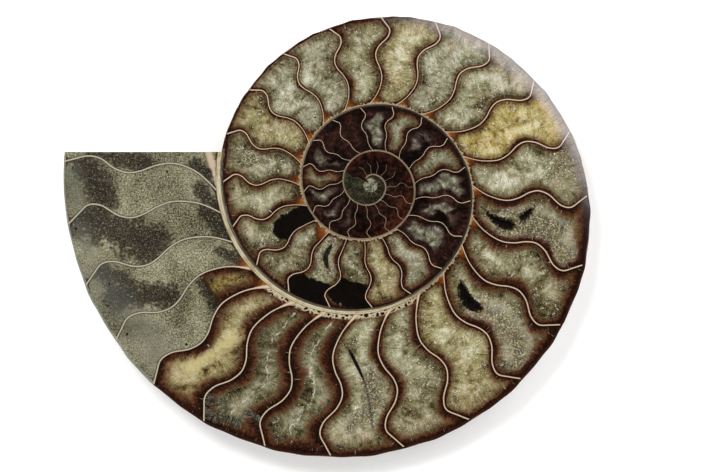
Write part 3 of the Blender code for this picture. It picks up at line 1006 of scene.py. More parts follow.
def paint(red, green, blue):
    """A colour as it looks in the studio's light, from 0 to 255, for a shader."""
    parts = (channel / 255.0 for channel in (red, green, blue))
    linear = (((part + 0.055) / 1.055) ** 2.4 if part > 0.04045 else part / 12.92 for part in parts)
    return tuple(part / SHOWN_BRIGHTER for part in linear) + (1.0,)


class Wiring:
    """Adds shader nodes to a tree and joins them. A value is a number, a colour or a node's output."""

    def __init__(self, tree):
        self.tree = tree

    def feed(self, node, inputs):
        """Feeds a node's inputs by name or number. Gives its outputs."""
        for name, value in inputs.items():
            if isinstance(value, bpy.types.NodeSocket):
                self.tree.links.new(value, node.inputs[name])
            else:
                node.inputs[name].default_value = value
        return node.outputs

    def add(self, kind, inputs, output=0, **settings):
        """Adds a node of a kind. Gives one of its outputs."""
        node = self.tree.nodes.new("ShaderNode" + kind)
        for name, setting in settings.items():
            setattr(node, name, setting)
        return self.feed(node, inputs)[output]

    def use(self, effect_name, inputs):
        """Places an effect with its own values. Gives its outputs."""
        node = self.tree.nodes.new("ShaderNodeGroup")
        node.node_tree = bpy.data.node_groups[effect_name]
        return self.feed(node, inputs)

    def join(self, value, socket):
        self.tree.links.new(value, socket)

    def measure(self, name):
        return self.add("Attribute", {}, "Fac", attribute_name=name)

    def measures(self, name):
        return self.parts(self.add("Attribute", {}, "Vector", attribute_name=name))

    def parts(self, vector):
        outputs = self.add("SeparateXYZ", {0: vector}).node.outputs
        return outputs[0], outputs[1], outputs[2]

    def calc(self, operation, one, other=0.5, third=0.5):
        return self.add("Math", {0: one, 1: other, 2: third}, operation=operation)

    def times(self, one, other):
        return self.calc("MULTIPLY", one, other)

    def total(self, first, *others):
        for other in others:
            first = self.calc("ADD", first, other)
        return first

    def stirred(self, value, *noises):
        """A value stirred by noises, each given with the size of its swing about nought."""
        for noise, size in noises:
            value = self.total(value, self.times(self.calc("SUBTRACT", noise, 0.5), size))
        return value

    def away_from(self, value, centre):
        return self.calc("ABSOLUTE", self.calc("SUBTRACT", value, centre))

    def clamped(self, value):
        return self.add("Clamp", {0: value})

    def fade(self, value, low, high, bottom=0.0, top=1.0):
        """Rises smoothly from bottom at low to top at high."""
        inputs = {0: value, 1: low, 2: high, 3: bottom, 4: top}
        return self.add("MapRange", inputs, interpolation_type="SMOOTHSTEP")

    def between(self, value, low, high):
        """One where a value lies between two others, and nought elsewhere."""
        return self.times(self.calc("GREATER_THAN", value, low), self.calc("LESS_THAN", value, high))

    def blend(self, share, one, other, how="MIX"):
        inputs = {0: share, 6: one, 7: other}
        return self.add("Mix", inputs, 2, data_type="RGBA", blend_type=how)

    def place(self):
        """Where a point of the object is, in mm."""
        spot = self.add("TexCoord", {}, "Object")
        return self.add("VectorMath", {0: spot, "Scale": 1.0 / MM}, operation="SCALE")

    def point(self, x, y, z):
        return self.add("CombineXYZ", {0: x, 1: y, 2: z})

    def noise(self, where, scale, detail=2.0, roughness=0.5, distortion=0.0):
        inputs = {"Vector": where, "Scale": scale, "Detail": detail, "Roughness": roughness}
        inputs["Distortion"] = distortion
        return self.add("TexNoise", inputs, "Fac")

    def cells(self, where, scale, output="Distance", feature="F1"):
        return self.add("TexVoronoi", {"Vector": where, "Scale": scale}, output, feature=feature)

    def ramp(self, value, *stops):
        """A run of colours: the value at which each is reached, and its red, green and blue."""
        made = self.add("ValToRGB", {0: value})
        elements = made.node.color_ramp.elements
        for _ in stops[2:]:
            elements.new(0.5)
        for element, (position, *shade) in zip(elements, stops):
            element.position = position
            element.color = paint(*shade)
        return made

    def relief(self, shader, height, strength, distance):
        """Gives a surface shader small relief, in metres."""
        inputs = {"Strength": strength, "Distance": distance, "Height": height}
        self.join(self.add("Bump", inputs), shader["Normal"])


def effect(name, inputs, outputs):
    """An empty group with named inputs and outputs. Gives its wiring, its inputs and what sets an output."""
    group = bpy.data.node_groups.new(name, "ShaderNodeTree")
    for title, value in inputs.items():
        socket = group.interface.new_socket(title, in_out="INPUT", socket_type="NodeSocketFloat")
        socket.default_value = value
    for title, kind in outputs.items():
        group.interface.new_socket(title, in_out="OUTPUT", socket_type="NodeSocket" + kind)
    into = group.nodes.new("NodeGroupInput").outputs
    out = group.nodes.new("NodeGroupOutput")

    def give(title, value):
        group.links.new(value, out.inputs[title])

    return Wiring(group), into, give


def new_finish(name):
    """A material with one surface shader. Gives the material, its wiring and the shader's inputs."""
    material = bpy.data.materials.new(name)
    material.use_nodes = True
    return material, Wiring(material.node_tree), material.node_tree.nodes["Principled BSDF"].inputs


def make_mud():
    """Hardened mud: a grey-beige paste with dark and pale grains, brown and black where it is stained, and
    paler and softer where a painted sheen of reflected light lies.
    """
    wiring, into, give = effect(
        "hardened mud", {"Grain": 1.0, "Stain": 0.0, "Painted Sheen": 0.0}, {"Color": "Color", "Height": "Float"}
    )
    spot = wiring.place()

    def grained(scale):
        return wiring.times(into["Grain"], scale)

    broad = wiring.noise(spot, 0.09, 4.0, 0.6, 0.3)
    wander = wiring.noise(spot, 0.32, 3.0, 0.6)
    fine = wiring.noise(spot, grained(2.3), 2.0, 0.65)
    # Painted sheen: where it lies, the grains are softened, as under a reflection on the polish.
    soft = wiring.calc("MULTIPLY_ADD", into["Painted Sheen"], -0.7, 1.7)
    paste = wiring.ramp(
        wiring.stirred(broad, (fine, soft)),
        (0.1, 18, 15, 9), (0.3, 74, 71, 49), (0.46, 125, 122, 94), (0.66, 162, 158, 128),
        (0.88, 208, 204, 174),
    )
    brown = wiring.ramp(
        wiring.stirred(fine, (wander, 0.3)),
        (0.4, 11, 7, 3), (0.53, 32, 23, 12), (0.61, 63, 50, 31), (0.69, 128, 114, 82),
    )
    stain = wiring.times(into["Stain"], 1.3)
    clots = wiring.noise(spot, grained(1.15), 4.0, 0.8)
    stained = wiring.fade(wiring.stirred(stain, (clots, 5.0), (wander, 2.8)), 0.2, 0.75)
    stained = wiring.times(stained, wiring.fade(stain, 0.0, 0.25))
    colour = wiring.blend(wiring.times(stained, 0.93), paste, brown)
    # Painted sheen: a pale grey haze of reflected light over the mud.
    colour = wiring.blend(wiring.times(into["Painted Sheen"], 0.42), colour, paint(104, 106, 98))
    grain = wiring.cells(spot, grained(1.9))
    which = wiring.noise(spot, grained(1.1), 2.0)
    pale = wiring.times(wiring.fade(grain, 0.34, 0.16), wiring.fade(which, 0.55, 0.6))
    dark = wiring.times(wiring.fade(grain, 0.42, 0.22), wiring.fade(which, 0.44, 0.38))
    colour = wiring.blend(wiring.times(pale, 0.75), colour, paint(186, 182, 158))
    colour = wiring.blend(wiring.times(dark, 0.9), colour, paint(16, 12, 7))
    pinhole = wiring.times(wiring.fade(wiring.cells(spot, 0.3), 0.15, 0.1), wiring.fade(wander, 0.5, 0.56))
    give("Color", wiring.blend(pinhole, colour, paint(12, 8, 5)))
    give("Height", wiring.calc("SUBTRACT", fine, dark))


def make_polish():
    """A wheel's polish: smooth, with broad dull clouds and a fine tooth."""
    wiring, into, give = effect(
        "wheel polish", {"Dull": 0.1, "Rough": 0.0}, {"Roughness": "Float", "Height": "Float"}
    )
    spot = wiring.place()
    clouds = wiring.noise(spot, 0.08, 3.0, 0.6)
    grain = wiring.noise(spot, 2.6, 3.0, 0.6)
    roughness = wiring.stirred(into["Dull"], (clouds, 0.08), (grain, 0.05))
    give("Roughness", wiring.calc("MULTIPLY_ADD", into["Rough"], 0.4, roughness))
    give("Height", wiring.total(grain, wiring.times(into["Rough"], grain)))


def make_druse():
    """A crust of small crystals: facets that are cream, straw or brown by turns."""
    wiring, into, give = effect(
        "crystal crust", {"Grain": 1.0, "Warmth": 0.3}, {"Color": "Color", "Height": "Float"}
    )
    spot = wiring.place()
    light, hue, _ = wiring.parts(wiring.cells(spot, into["Grain"], "Color"))
    from_edge = wiring.cells(spot, into["Grain"], "Distance", "DISTANCE_TO_EDGE")
    colour = wiring.ramp(
        light,
        (0.0, 24, 20, 10), (0.25, 74, 68, 42), (0.5, 128, 121, 83), (0.75, 198, 188, 136),
        (1.0, 255, 250, 206),
    )
    warm = wiring.blend(wiring.fade(hue, 0.3, 0.9), paint(255, 255, 255), paint(224, 190, 120))
    colour = wiring.blend(into["Warmth"], colour, wiring.blend(1.0, colour, warm, "MULTIPLY"))
    give("Color", wiring.blend(wiring.fade(from_edge, 0.1, 0.0, 0.0, 0.35), colour, paint(50, 42, 22)))
    give("Height", wiring.total(light, wiring.fade(from_edge, 0.0, 0.2)))


make_mud()
make_polish()
make_druse()


class Stone:
    """What the chambers' paints share: a point's place, its chamber's measures and the stone's noises."""

    def __init__(self, wiring):
        self.spot = wiring.place()
        self.edge, self.inner = wiring.measure("edge"), wiring.measure("inner")
        self.across, self.outer = wiring.measure("across"), wiring.measure("outer")
        self.along, depth, self.chamber = wiring.measures("fibre")
        self.gold, self.pale, self.night = wiring.measures("tint")
        self.vein, self.mud, self.black = wiring.measures("habit")
        self.cloud = wiring.noise(self.spot, 0.17, 3.0, 0.55, 0.7)
        self.patch = wiring.noise(self.spot, 0.7, 3.0, 0.6)
        self.blotch = wiring.noise(self.spot, 1.5, 3.0, 0.65)
        self.grain = wiring.noise(self.spot, 2.6, 2.0, 0.7)
        self.coarse = self.streaks(wiring, depth, 0.8, 0.25, 0.6)
        self.fine = self.streaks(wiring, depth, 2.0, 0.3, 0.65)
        feather = wiring.stirred(
            1.0, (self.cloud, 2.4), (self.patch, 1.3), (self.coarse, 0.7), (self.blotch, 0.9)
        )
        rim = wiring.times(wiring.measure("rim"), wiring.calc("MAXIMUM", feather, 0.3))
        self.rim_share = wiring.calc("DIVIDE", self.edge, rim)
        self.past_rim = wiring.calc("SUBTRACT", self.edge, rim)

    def streaks(self, wiring, depth, narrow, short, roughness):
        """Streaks along the calcite's fibres."""
        spot = wiring.point(wiring.times(self.along, narrow), wiring.times(depth, short), self.chamber)
        return wiring.noise(spot, 1.0, 3.0, roughness)


def calcite_fill(wiring, stone):
    """The pale chambers' calcite: grey-green or golden, in clouds, clearest far from the walls."""
    cloud, patch, coarse, fine = stone.cloud, stone.patch, stone.coarse, stone.fine
    deep = wiring.total(wiring.fade(stone.past_rim, -0.5, FILL_DEEP, 0.31, 0.61), stone.pale)
    deep = wiring.stirred(deep, (cloud, 1.6), (patch, 0.7), (coarse, 0.7), (fine, 0.7), (stone.grain, 0.65))
    fill = wiring.ramp(
        deep,
        (0.05, 40, 32, 18), (0.27, 90, 82, 52), (0.5, 140, 136, 109), (0.72, 178, 176, 149),
        (0.95, 230, 230, 214),
    )
    golden = wiring.ramp(
        deep,
        (0.05, 58, 34, 12), (0.27, 124, 92, 34), (0.5, 180, 157, 78), (0.72, 212, 193, 114),
        (0.95, 244, 236, 188),
    )
    colour = wiring.blend(stone.gold, fill, golden)
    hue = wiring.noise(stone.spot, 0.24, 3.0, 0.6)
    colour = wiring.blend(wiring.fade(hue, 0.5, 0.62, 0.0, 0.8), colour, (0.97, 1.0, 0.89, 1.0), "MULTIPLY")
    colour = wiring.blend(wiring.fade(hue, 0.46, 0.36, 0.0, 0.7), colour, (1.0, 0.9, 0.8, 1.0), "MULTIPLY")
    sunny = wiring.stirred(wiring.measure("sun"), (cloud, 0.5), (patch, 0.7), (fine, 0.7))
    colour = wiring.blend(wiring.times(wiring.fade(sunny, 0.1, 1.1), 0.8), colour, paint(216, 203, 146))
    clouded = wiring.fade(wiring.total(cloud, stone.pale), 0.42, 0.6)
    white = wiring.times(wiring.fade(fine, 0.55, 0.68), clouded)
    return wiring.blend(wiring.times(white, 0.45), colour, paint(218, 218, 198))


def add_specks(wiring, stone, colour):
    """Bright glints and dark specks in patches, away from the chambers' rims."""
    speckled = wiring.fade(wiring.noise(stone.spot, 0.45, 3.0, 0.6), 0.46, 0.6)
    inside = wiring.times(
        wiring.fade(stone.past_rim, 0.4, 1.6, 0.0, 0.75), wiring.fade(stone.chamber, 5.0, 9.0, 0.25, 1.0)
    )
    for scale, low, high, shade in ((1.5, 0.38, 0.2, (238, 236, 220)), (1.15, 0.3, 0.12, (66, 58, 34))):
        speck = wiring.times(wiring.fade(wiring.cells(stone.spot, scale), low, high), speckled)
        colour = wiring.blend(wiring.times(speck, inside), colour, paint(*shade))
    return colour


def add_rims(wiring, stone, colour):
    """The brown calcite that grew first along a chamber's walls, with a dark line and a pale one past it."""
    dark_line = wiring.fade(wiring.away_from(stone.past_rim, 0.5), 0.35, 0.05, 0.0, 0.45)
    colour = wiring.blend(dark_line, colour, paint(74, 62, 36))
    pale_line = wiring.fade(wiring.away_from(stone.past_rim, 1.05), 0.25, 0.05, 0.0, 0.3)
    colour = wiring.blend(pale_line, colour, paint(150, 138, 120))
    rims = wiring.ramp(
        wiring.stirred(wiring.times(stone.rim_share, 0.5), (stone.blotch, 1.2), (stone.fine, 0.3)),
        (0.05, 20, 10, 6), (0.25, 46, 24, 14), (0.42, 76, 41, 24), (0.6, 106, 66, 40), (0.85, 140, 106, 72),
    )
    outwards = wiring.stirred(stone.across, (stone.cloud, 0.8), (stone.patch, 0.4))
    outwards = wiring.fade(outwards, 0.72, 1.05, 0.0, 0.75)
    colour = wiring.blend(outwards, colour, (0.78, 0.66, 0.6, 1.0), "MULTIPLY")
    return wiring.blend(wiring.fade(stone.rim_share, 1.6, 0.75), colour, rims)


def night_fill(wiring, stone):
    """The dark chambers near the coil's centre: near black, red-brown or clearing to grey in places."""
    cloud, patch, fine, grain = stone.cloud, stone.patch, stone.fine, stone.grain
    colour = wiring.ramp(
        wiring.stirred(patch, (fine, 0.7), (cloud, 1.0)),
        (0.3, 8, 4, 2), (0.5, 26, 13, 9), (0.66, 48, 26, 20), (0.85, 78, 50, 42),
    )
    glow = wiring.fade(wiring.stirred(stone.across, (patch, 2.2), (cloud, 1.4), (grain, 0.8)), 0.5, 1.3)
    colour = wiring.blend(wiring.times(glow, stone.gold), colour, paint(80, 35, 18))
    lit = wiring.fade(wiring.stirred(stone.past_rim, (patch, 2.0)), -0.4, 1.6)
    lit = wiring.times(lit, wiring.fade(wiring.stirred(stone.across, (cloud, 1.0)), 0.9, 0.6))
    lit = wiring.times(lit, wiring.fade(wiring.total(cloud, wiring.times(stone.pale, 0.3)), 0.5, 0.66))
    lit = wiring.times(lit, wiring.fade(stone.pale, 0.0, 0.6))
    colour = wiring.blend(wiring.fade(lit, 0.0, 0.4), colour, paint(64, 47, 42))
    clear = wiring.ramp(
        wiring.stirred(fine, (patch, 1.0)), (0.25, 64, 59, 45), (0.5, 118, 116, 96), (0.75, 182, 182, 160)
    )
    colour = wiring.blend(wiring.fade(lit, 0.25, 1.0), colour, clear)
    middle = wiring.ramp(
        wiring.stirred(patch, (fine, 0.6), (grain, 0.8)),
        (0.3, 18, 17, 11), (0.45, 39, 38, 26), (0.62, 66, 65, 48),
    )
    nucleus = wiring.ramp(
        wiring.stirred(patch, (grain, 1.4)), (0.3, 48, 50, 38), (0.5, 124, 126, 106), (0.7, 176, 176, 152)
    )
    core = wiring.measure("core")
    middle = wiring.blend(wiring.fade(core, 1.2, 1.8), middle, nucleus)
    return wiring.blend(wiring.clamped(core), colour, middle)


def add_veins(wiring, stone, colour):
    """Thin white veins: a broken zig-zag where the fibres of two sides meet, and hair-fine ones across."""
    broad = wiring.noise(stone.spot, 0.16, 3.0, 0.6)
    narrow = wiring.noise(stone.spot, 0.7, 3.0, 0.65)
    off_middle = wiring.stirred(wiring.measure("middle"), (broad, 5.0), (narrow, 1.6))
    off_vein = wiring.calc("ABSOLUTE", off_middle)
    patchy = wiring.fade(wiring.noise(stone.spot, 0.45, 3.0), 0.42, 0.58)
    veined = wiring.times(wiring.fade(off_vein, 0.26, 0.04), wiring.times(stone.vein, patchy))
    veined = wiring.times(veined, wiring.fade(stone.rim_share, 0.9, 1.4))
    across = wiring.noise(wiring.point(wiring.times(stone.along, 0.33), 0.0, stone.chamber), 1.0, 1.0)
    where = wiring.fade(wiring.noise(stone.spot, 0.9, 2.0), 0.52, 0.66, 0.0, 0.55)
    crossing = wiring.times(wiring.fade(wiring.away_from(across, 0.56), 0.008, 0.001), where)
    crossing = wiring.times(crossing, wiring.calc("LESS_THAN", stone.chamber, CROSSED_BELOW))
    veins = wiring.calc("MAXIMUM", wiring.times(veined, 0.8), crossing)
    return wiring.blend(veins, colour, paint(224, 222, 204))


def add_mud(wiring, stone, colour, mud_colour):
    """Mud where it filled a chamber, brown calcite at its front. Gives the colour and the mud's share."""
    dark_edge = wiring.times(wiring.fade(stone.edge, 0.6, 0.2), wiring.fade(stone.outer, 1.0, 2.0))
    muddy = wiring.blend(dark_edge, mud_colour, paint(36, 29, 20))
    muddy = wiring.blend(wiring.fade(stone.outer, 1.8, 0.4, 0.0, 0.7), muddy, paint(158, 158, 146))
    front = wiring.stirred(stone.mud, (wiring.noise(stone.spot, 0.35, 3.0, 0.6), 1.1))
    share = wiring.fade(wiring.stirred(front, (stone.coarse, 0.6)), 0.35, 0.7)
    at_front = wiring.times(wiring.fade(front, -0.5, 0.4), wiring.fade(stone.mud, 0.0, 0.5))
    colour = wiring.blend(at_front, colour, paint(48, 27, 13))
    return wiring.blend(share, colour, muddy), share


def add_wedges(wiring, stone, colour):
    """The amber corners where a septum's foot leaves the wall."""
    wedge = wiring.stirred(wiring.measure("wedge"), (stone.coarse, 0.8), (stone.fine, 0.7))
    amber = wiring.ramp(
        wedge, (0.12, 46, 24, 12), (0.36, 78, 40, 17), (0.62, 124, 69, 27), (0.92, 178, 123, 62)
    )
    wedged = wiring.times(wiring.fade(wedge, 0.12, 0.34), wiring.between(stone.chamber, *WEDGED_CHAMBERS))
    return wiring.blend(wedged, colour, amber)


def add_wall_fringe(wiring, stone, colour):
    """What fringes the inner wall: cream loops round black holes, cream spikes, and pale shell."""
    loops = wiring.cells(stone.spot, 0.8, "Distance", "DISTANCE_TO_EDGE")
    ring = wiring.ramp(loops, (0.0, 218, 208, 180), (0.1, 184, 168, 136), (0.2, 34, 22, 14))
    looped = wiring.between(stone.chamber, *LOOPED_CHAMBERS)
    looped = wiring.times(looped, wiring.fade(stone.inner, 1.6, 0.9))
    colour = wiring.blend(looped, colour, ring)
    spikes = wiring.stirred(stone.inner, (wiring.noise(stone.spot, 1.4, 2.0), 2.6))
    fringe = wiring.times(wiring.fade(spikes, 0.4, 0.2), wiring.between(stone.chamber, *FRINGED_CHAMBERS))
    colour = wiring.blend(fringe, colour, paint(172, 154, 122))
    shelly = wiring.stirred(wiring.measure("shell"), (stone.fine, 0.7))
    shell = wiring.ramp(shelly, (0.3, 84, 60, 44), (0.6, 168, 148, 122), (0.9, 206, 190, 164))
    return wiring.blend(wiring.fade(shelly, 0.25, 0.45), colour, shell)


def add_crusts(wiring, stone, colour, crust):
    """Ashen and sugary patches, cracks and black fills. Gives the colour and how crusted it is."""
    grey = wiring.measure("grey")
    ashen = wiring.ramp(
        wiring.stirred(stone.fine, (crust["Height"], 0.25)),
        (0.4, 18, 17, 12), (0.58, 46, 45, 35), (0.72, 80, 80, 64), (0.88, 150, 150, 132),
    )
    patchy = wiring.fade(wiring.stirred(grey, (stone.coarse, 1.6), (stone.fine, 0.8)), 0.3, 0.7)
    patchy = wiring.times(patchy, wiring.fade(grey, 0.02, 0.2))
    colour = wiring.blend(wiring.times(patchy, 0.72), colour, ashen)
    druse = wiring.measure("druse")
    crusted = wiring.fade(
        wiring.stirred(druse, (stone.coarse, 0.9), (crust["Height"], 0.3)), 0.35, 1.1, 0.0, 0.9
    )
    crusted = wiring.times(crusted, wiring.fade(druse, 0.02, 0.2))
    crusted = wiring.times(crusted, wiring.fade(stone.rim_share, 0.9, 1.5))
    colour = wiring.blend(crusted, colour, crust["Color"])
    crack = wiring.measure("crack")
    cracked = wiring.fade(wiring.stirred(crack, (stone.fine, 1.6), (stone.coarse, 0.8)), 0.5, 0.9, 0.0, 0.8)
    cracked = wiring.times(cracked, wiring.fade(crack, 0.1, 0.5))
    colour = wiring.blend(cracked, colour, paint(34, 26, 18))
    blackened = wiring.fade(wiring.stirred(stone.black, (stone.coarse, 3.0)), -0.3, 0.3)
    black = wiring.ramp(stone.fine, (0.35, 6, 4, 3), (0.8, 24, 16, 12))
    return wiring.blend(blackened, colour, black), crusted


def add_shell_lines(wiring, stone, colour):
    """The shell's brown line along the face's edge, and the cream septa, duller in mud and at the centre."""
    shell = wiring.total(wiring.stirred(stone.outer, (stone.coarse, 1.0)), wiring.times(stone.mud, 1.2))
    colour = wiring.blend(wiring.fade(shell, 1.1, 0.7), colour, paint(54, 27, 17))
    septum = wiring.stirred(wiring.measure("septum"), (stone.fine, 0.5))
    line = wiring.ramp(septum, (0.0, 228, 212, 186), (0.55, 208, 186, 156), (1.1, 134, 100, 74))
    line = wiring.blend(wiring.times(stone.mud, 0.75), line, paint(186, 180, 158))
    line = wiring.blend(wiring.fade(stone.chamber, 43.0, 46.0, 0.0, 0.5), line, paint(104, 72, 54))
    line = wiring.blend(wiring.clamped(wiring.measure("core")), line, paint(104, 97, 74))
    return wiring.blend(wiring.fade(septum, 1.25, 0.8), colour, line)


def finish_chambers():
    """All that fills the chambers, and the septa between them, under one polish."""
    material, wiring, shader = new_finish("chambers_calcite_and_mud")
    stone = Stone(wiring)
    colour = add_rims(wiring, stone, add_specks(wiring, stone, calcite_fill(wiring, stone)))
    colour = wiring.blend(stone.night, colour, night_fill(wiring, stone))
    colour = add_veins(wiring, stone, colour)
    # The mud's real stains, and the painted sheen of reflected light on it at the lower left.
    stained, sheen_share = wiring.measure("stain"), wiring.measure("painted_sheen")
    mud = wiring.use("hardened mud", {"Grain": 1.0, "Stain": stained, "Painted Sheen": sheen_share})
    colour, mud_share = add_mud(wiring, stone, colour, mud["Color"])
    colour = add_wall_fringe(wiring, stone, add_wedges(wiring, stone, colour))
    crust = wiring.use("crystal crust", {"Grain": 3.1, "Warmth": 0.75})
    colour, crusted = add_crusts(wiring, stone, colour, crust)
    colour = add_shell_lines(wiring, stone, colour)
    # Paler at the right where the wheel has eased the face's edge: worn stone, and a painted highlight's wash
    # on the eased rim.
    fall = wiring.measure("fall")
    scuff_and_sheen = wiring.fade(wiring.stirred(fall, (stone.fine, 0.5), (stone.coarse, 0.4)), 0.5, 1.05, 0.0, 0.6)
    wiring.join(wiring.blend(scuff_and_sheen, colour, paint(194, 184, 173)), shader["Base Color"])

    rough = wiring.times(wiring.calc("MAXIMUM", mud_share, crusted), 0.15)
    rough = wiring.total(rough, wiring.times(fall, 0.6))
    polish = wiring.use("wheel polish", {"Dull": 0.1, "Rough": rough})
    wiring.join(polish["Roughness"], shader["Roughness"])
    height = wiring.calc("MULTIPLY_ADD", polish["Height"], 0.03, wiring.times(crust["Height"], crusted))
    height = wiring.calc("MULTIPLY_ADD", mud["Height"], wiring.times(mud_share, 0.1), height)
    wiring.relief(shader, height, 0.5, 0.0003)
    shader["IOR"].default_value = STONE_IOR
    return material


def finish_band():
    """The shell wall's section: cream and brown layers, and darker with a pale outside where it is thin."""
    material, wiring, shader = new_finish("shell_wall_section")
    across, along = wiring.measure("across"), wiring.measure("along_band")
    layered = wiring.point(wiring.times(along, 0.5), wiring.times(across, 2.2), 3.0)
    grain = wiring.noise(layered, 1.0, 4.0, 0.65)
    layer = wiring.stirred(wiring.calc("MULTIPLY_ADD", across, 0.5, 0.5), (grain, 0.55))
    thick = wiring.ramp(
        layer,
        (0.0, 66, 48, 36), (0.14, 40, 30, 22), (0.22, 140, 126, 102), (0.3, 48, 38, 28),
        (0.42, 186, 174, 138), (0.55, 230, 223, 194), (0.66, 160, 147, 112), (0.78, 228, 219, 184),
        (0.95, 130, 103, 70),
    )
    thin = wiring.ramp(
        layer,
        (0.0, 40, 28, 20), (0.2, 26, 19, 14), (0.36, 74, 67, 54), (0.5, 46, 38, 29), (0.62, 34, 26, 19),
        (0.76, 112, 103, 82), (0.9, 196, 182, 150), (1.0, 98, 78, 54),
    )
    half = wiring.measure("inner")
    colour = wiring.blend(wiring.fade(half, 0.75, 0.5), thick, thin)
    colour = wiring.blend(wiring.fade(half, 0.34, 0.26, 0.0, 0.65), colour, paint(158, 142, 116))
    browned = wiring.fade(wiring.noise(wiring.place(), 0.22, 3.0, 0.65), 0.46, 0.62, 0.0, 0.65)
    wiring.join(wiring.blend(browned, colour, (0.62, 0.52, 0.38, 1.0), "MULTIPLY"), shader["Base Color"])
    polish = wiring.use("wheel polish", {"Dull": 0.12, "Rough": 0.05})
    wiring.join(polish["Roughness"], shader["Roughness"])
    wiring.relief(shader, polish["Height"], 0.4, 0.0001)
    shader["IOR"].default_value = STONE_IOR
    return material


def finish_rim():
    """The rim that the wheel has eased: dull brown shell, and grey where mud lies behind it."""
    material, wiring, shader = new_finish("eased_rim")
    _, mud, _ = wiring.measures("habit")
    uneven = wiring.noise(wiring.place(), 0.6, 3.0, 0.6)
    shell = wiring.ramp(uneven, (0.35, 40, 22, 15), (0.6, 78, 50, 36), (0.75, 120, 92, 70))
    stone = wiring.ramp(uneven, (0.35, 110, 109, 98), (0.65, 168, 168, 157))
    wiring.join(wiring.blend(wiring.clamped(mud), shell, stone), shader["Base Color"])
    shader["Roughness"].default_value = 0.8
    shader["Specular IOR Level"].default_value = 0.15
    return material


def finish_pits():
    """The hollows' walls: a dark crust of crystals too small to tell apart."""
    material, wiring, shader = new_finish("hollow_lining")
    crust = wiring.use("crystal crust", {"Grain": 1.3, "Warmth": 0.6})
    wiring.join(wiring.blend(0.95, crust["Color"], paint(84, 56, 34), "MULTIPLY"), shader["Base Color"])
    wiring.relief(shader, crust["Height"], 0.8, 0.0004)
    shader["Roughness"].default_value = 0.6
    return material


def finish_flank():
    """The shell's weathered outside: brown and cream, darker between the ribs, with fine growth lines."""
    material, wiring, shader = new_finish("weathered_shell")
    spot = wiring.place()
    mud = wiring.use("hardened mud", {"Grain": 0.8, "Stain": 0.0, "Painted Sheen": 0.0})
    broad = wiring.noise(spot, 0.05, 4.0, 0.6, 0.5)
    fine = wiring.noise(spot, 0.7, 4.0, 0.65)
    lines = wiring.noise(wiring.point(*wiring.measures("growth")), 1.0, 4.0, 0.65)
    ribs = wiring.times(wiring.measure("rib"), 0.05)
    worn = wiring.total(wiring.stirred(broad, (fine, 0.6), (lines, 0.8)), ribs)
    colour = wiring.ramp(
        worn, (0.25, 84, 50, 34), (0.42, 122, 78, 52), (0.56, 158, 118, 84), (0.75, 196, 170, 134)
    )
    flaked = wiring.fade(wiring.noise(spot, 0.035, 3.0, 0.55, 0.3), 0.55, 0.64)
    wiring.join(wiring.blend(wiring.times(flaked, 0.8), colour, mud["Color"]), shader["Base Color"])
    wiring.join(wiring.fade(worn, 0.2, 0.8, 0.38, 0.62), shader["Roughness"])
    wiring.relief(shader, wiring.total(wiring.times(fine, 0.5), lines), 0.6, 0.0005)
    return material


def finish_break():
    """The mouth's break: rough hardened mud inside a thin rim of shell."""
    material, wiring, shader = new_finish("rough_break")
    mud = wiring.use("hardened mud", {"Grain": 0.7, "Stain": 0.2, "Painted Sheen": 0.0})
    spot = wiring.place()
    rusty = wiring.fade(wiring.noise(spot, 0.12, 3.0), 0.4, 0.7, 0.0, 0.5)
    colour = wiring.blend(rusty, mud["Color"], paint(150, 118, 84))
    rough = wiring.noise(spot, 0.6, 6.0, 0.65)
    from_wall = wiring.stirred(wiring.measure("from_shell"), (rough, 0.7))
    wall = wiring.ramp(from_wall, (0.0, 96, 64, 44), (0.3, 206, 188, 156), (0.6, 122, 94, 68))
    wiring.join(wiring.blend(wiring.fade(from_wall, 0.85, 0.55), colour, wall), shader["Base Color"])
    wiring.relief(shader, rough, 0.8, 0.001)
    shader["Roughness"].default_value = 0.82
    return material


# In the order of the materials' numbers
for finish in (finish_chambers, finish_band, finish_rim, finish_pits, finish_flank, finish_break):
    fossil.data.materials.append(finish())


# The crystal crusts
# Where the calcite never met in the middle of a chamber a hollow was left, and small pointed crystals line
# it. They grew out of the hollow's walls, in a heap in one place, and deep down they are painted dark brown
# as shade.
CRYSTAL_SIDES = 6
CRYSTALS = {
    # how many crystals, the share of the way along where they heap up, how wide the heap is and how high
    "upper": (1500, 0.62, 0.09, 0.85),
    "lower": (1300, 0.95, 0.12, 0.6),
}
CRYSTAL_LENGTHS = (0.45, 1.25)
CRYSTAL_SLENDER = 0.36
CRYSTAL_FIT = 0.97  # they keep this much within the hollow's walls and ends
CRYSTAL_TOP = -0.3
CRYSTAL_LIMIT = -0.05  # nothing of a crystal stands higher, because the wheel would have taken it off


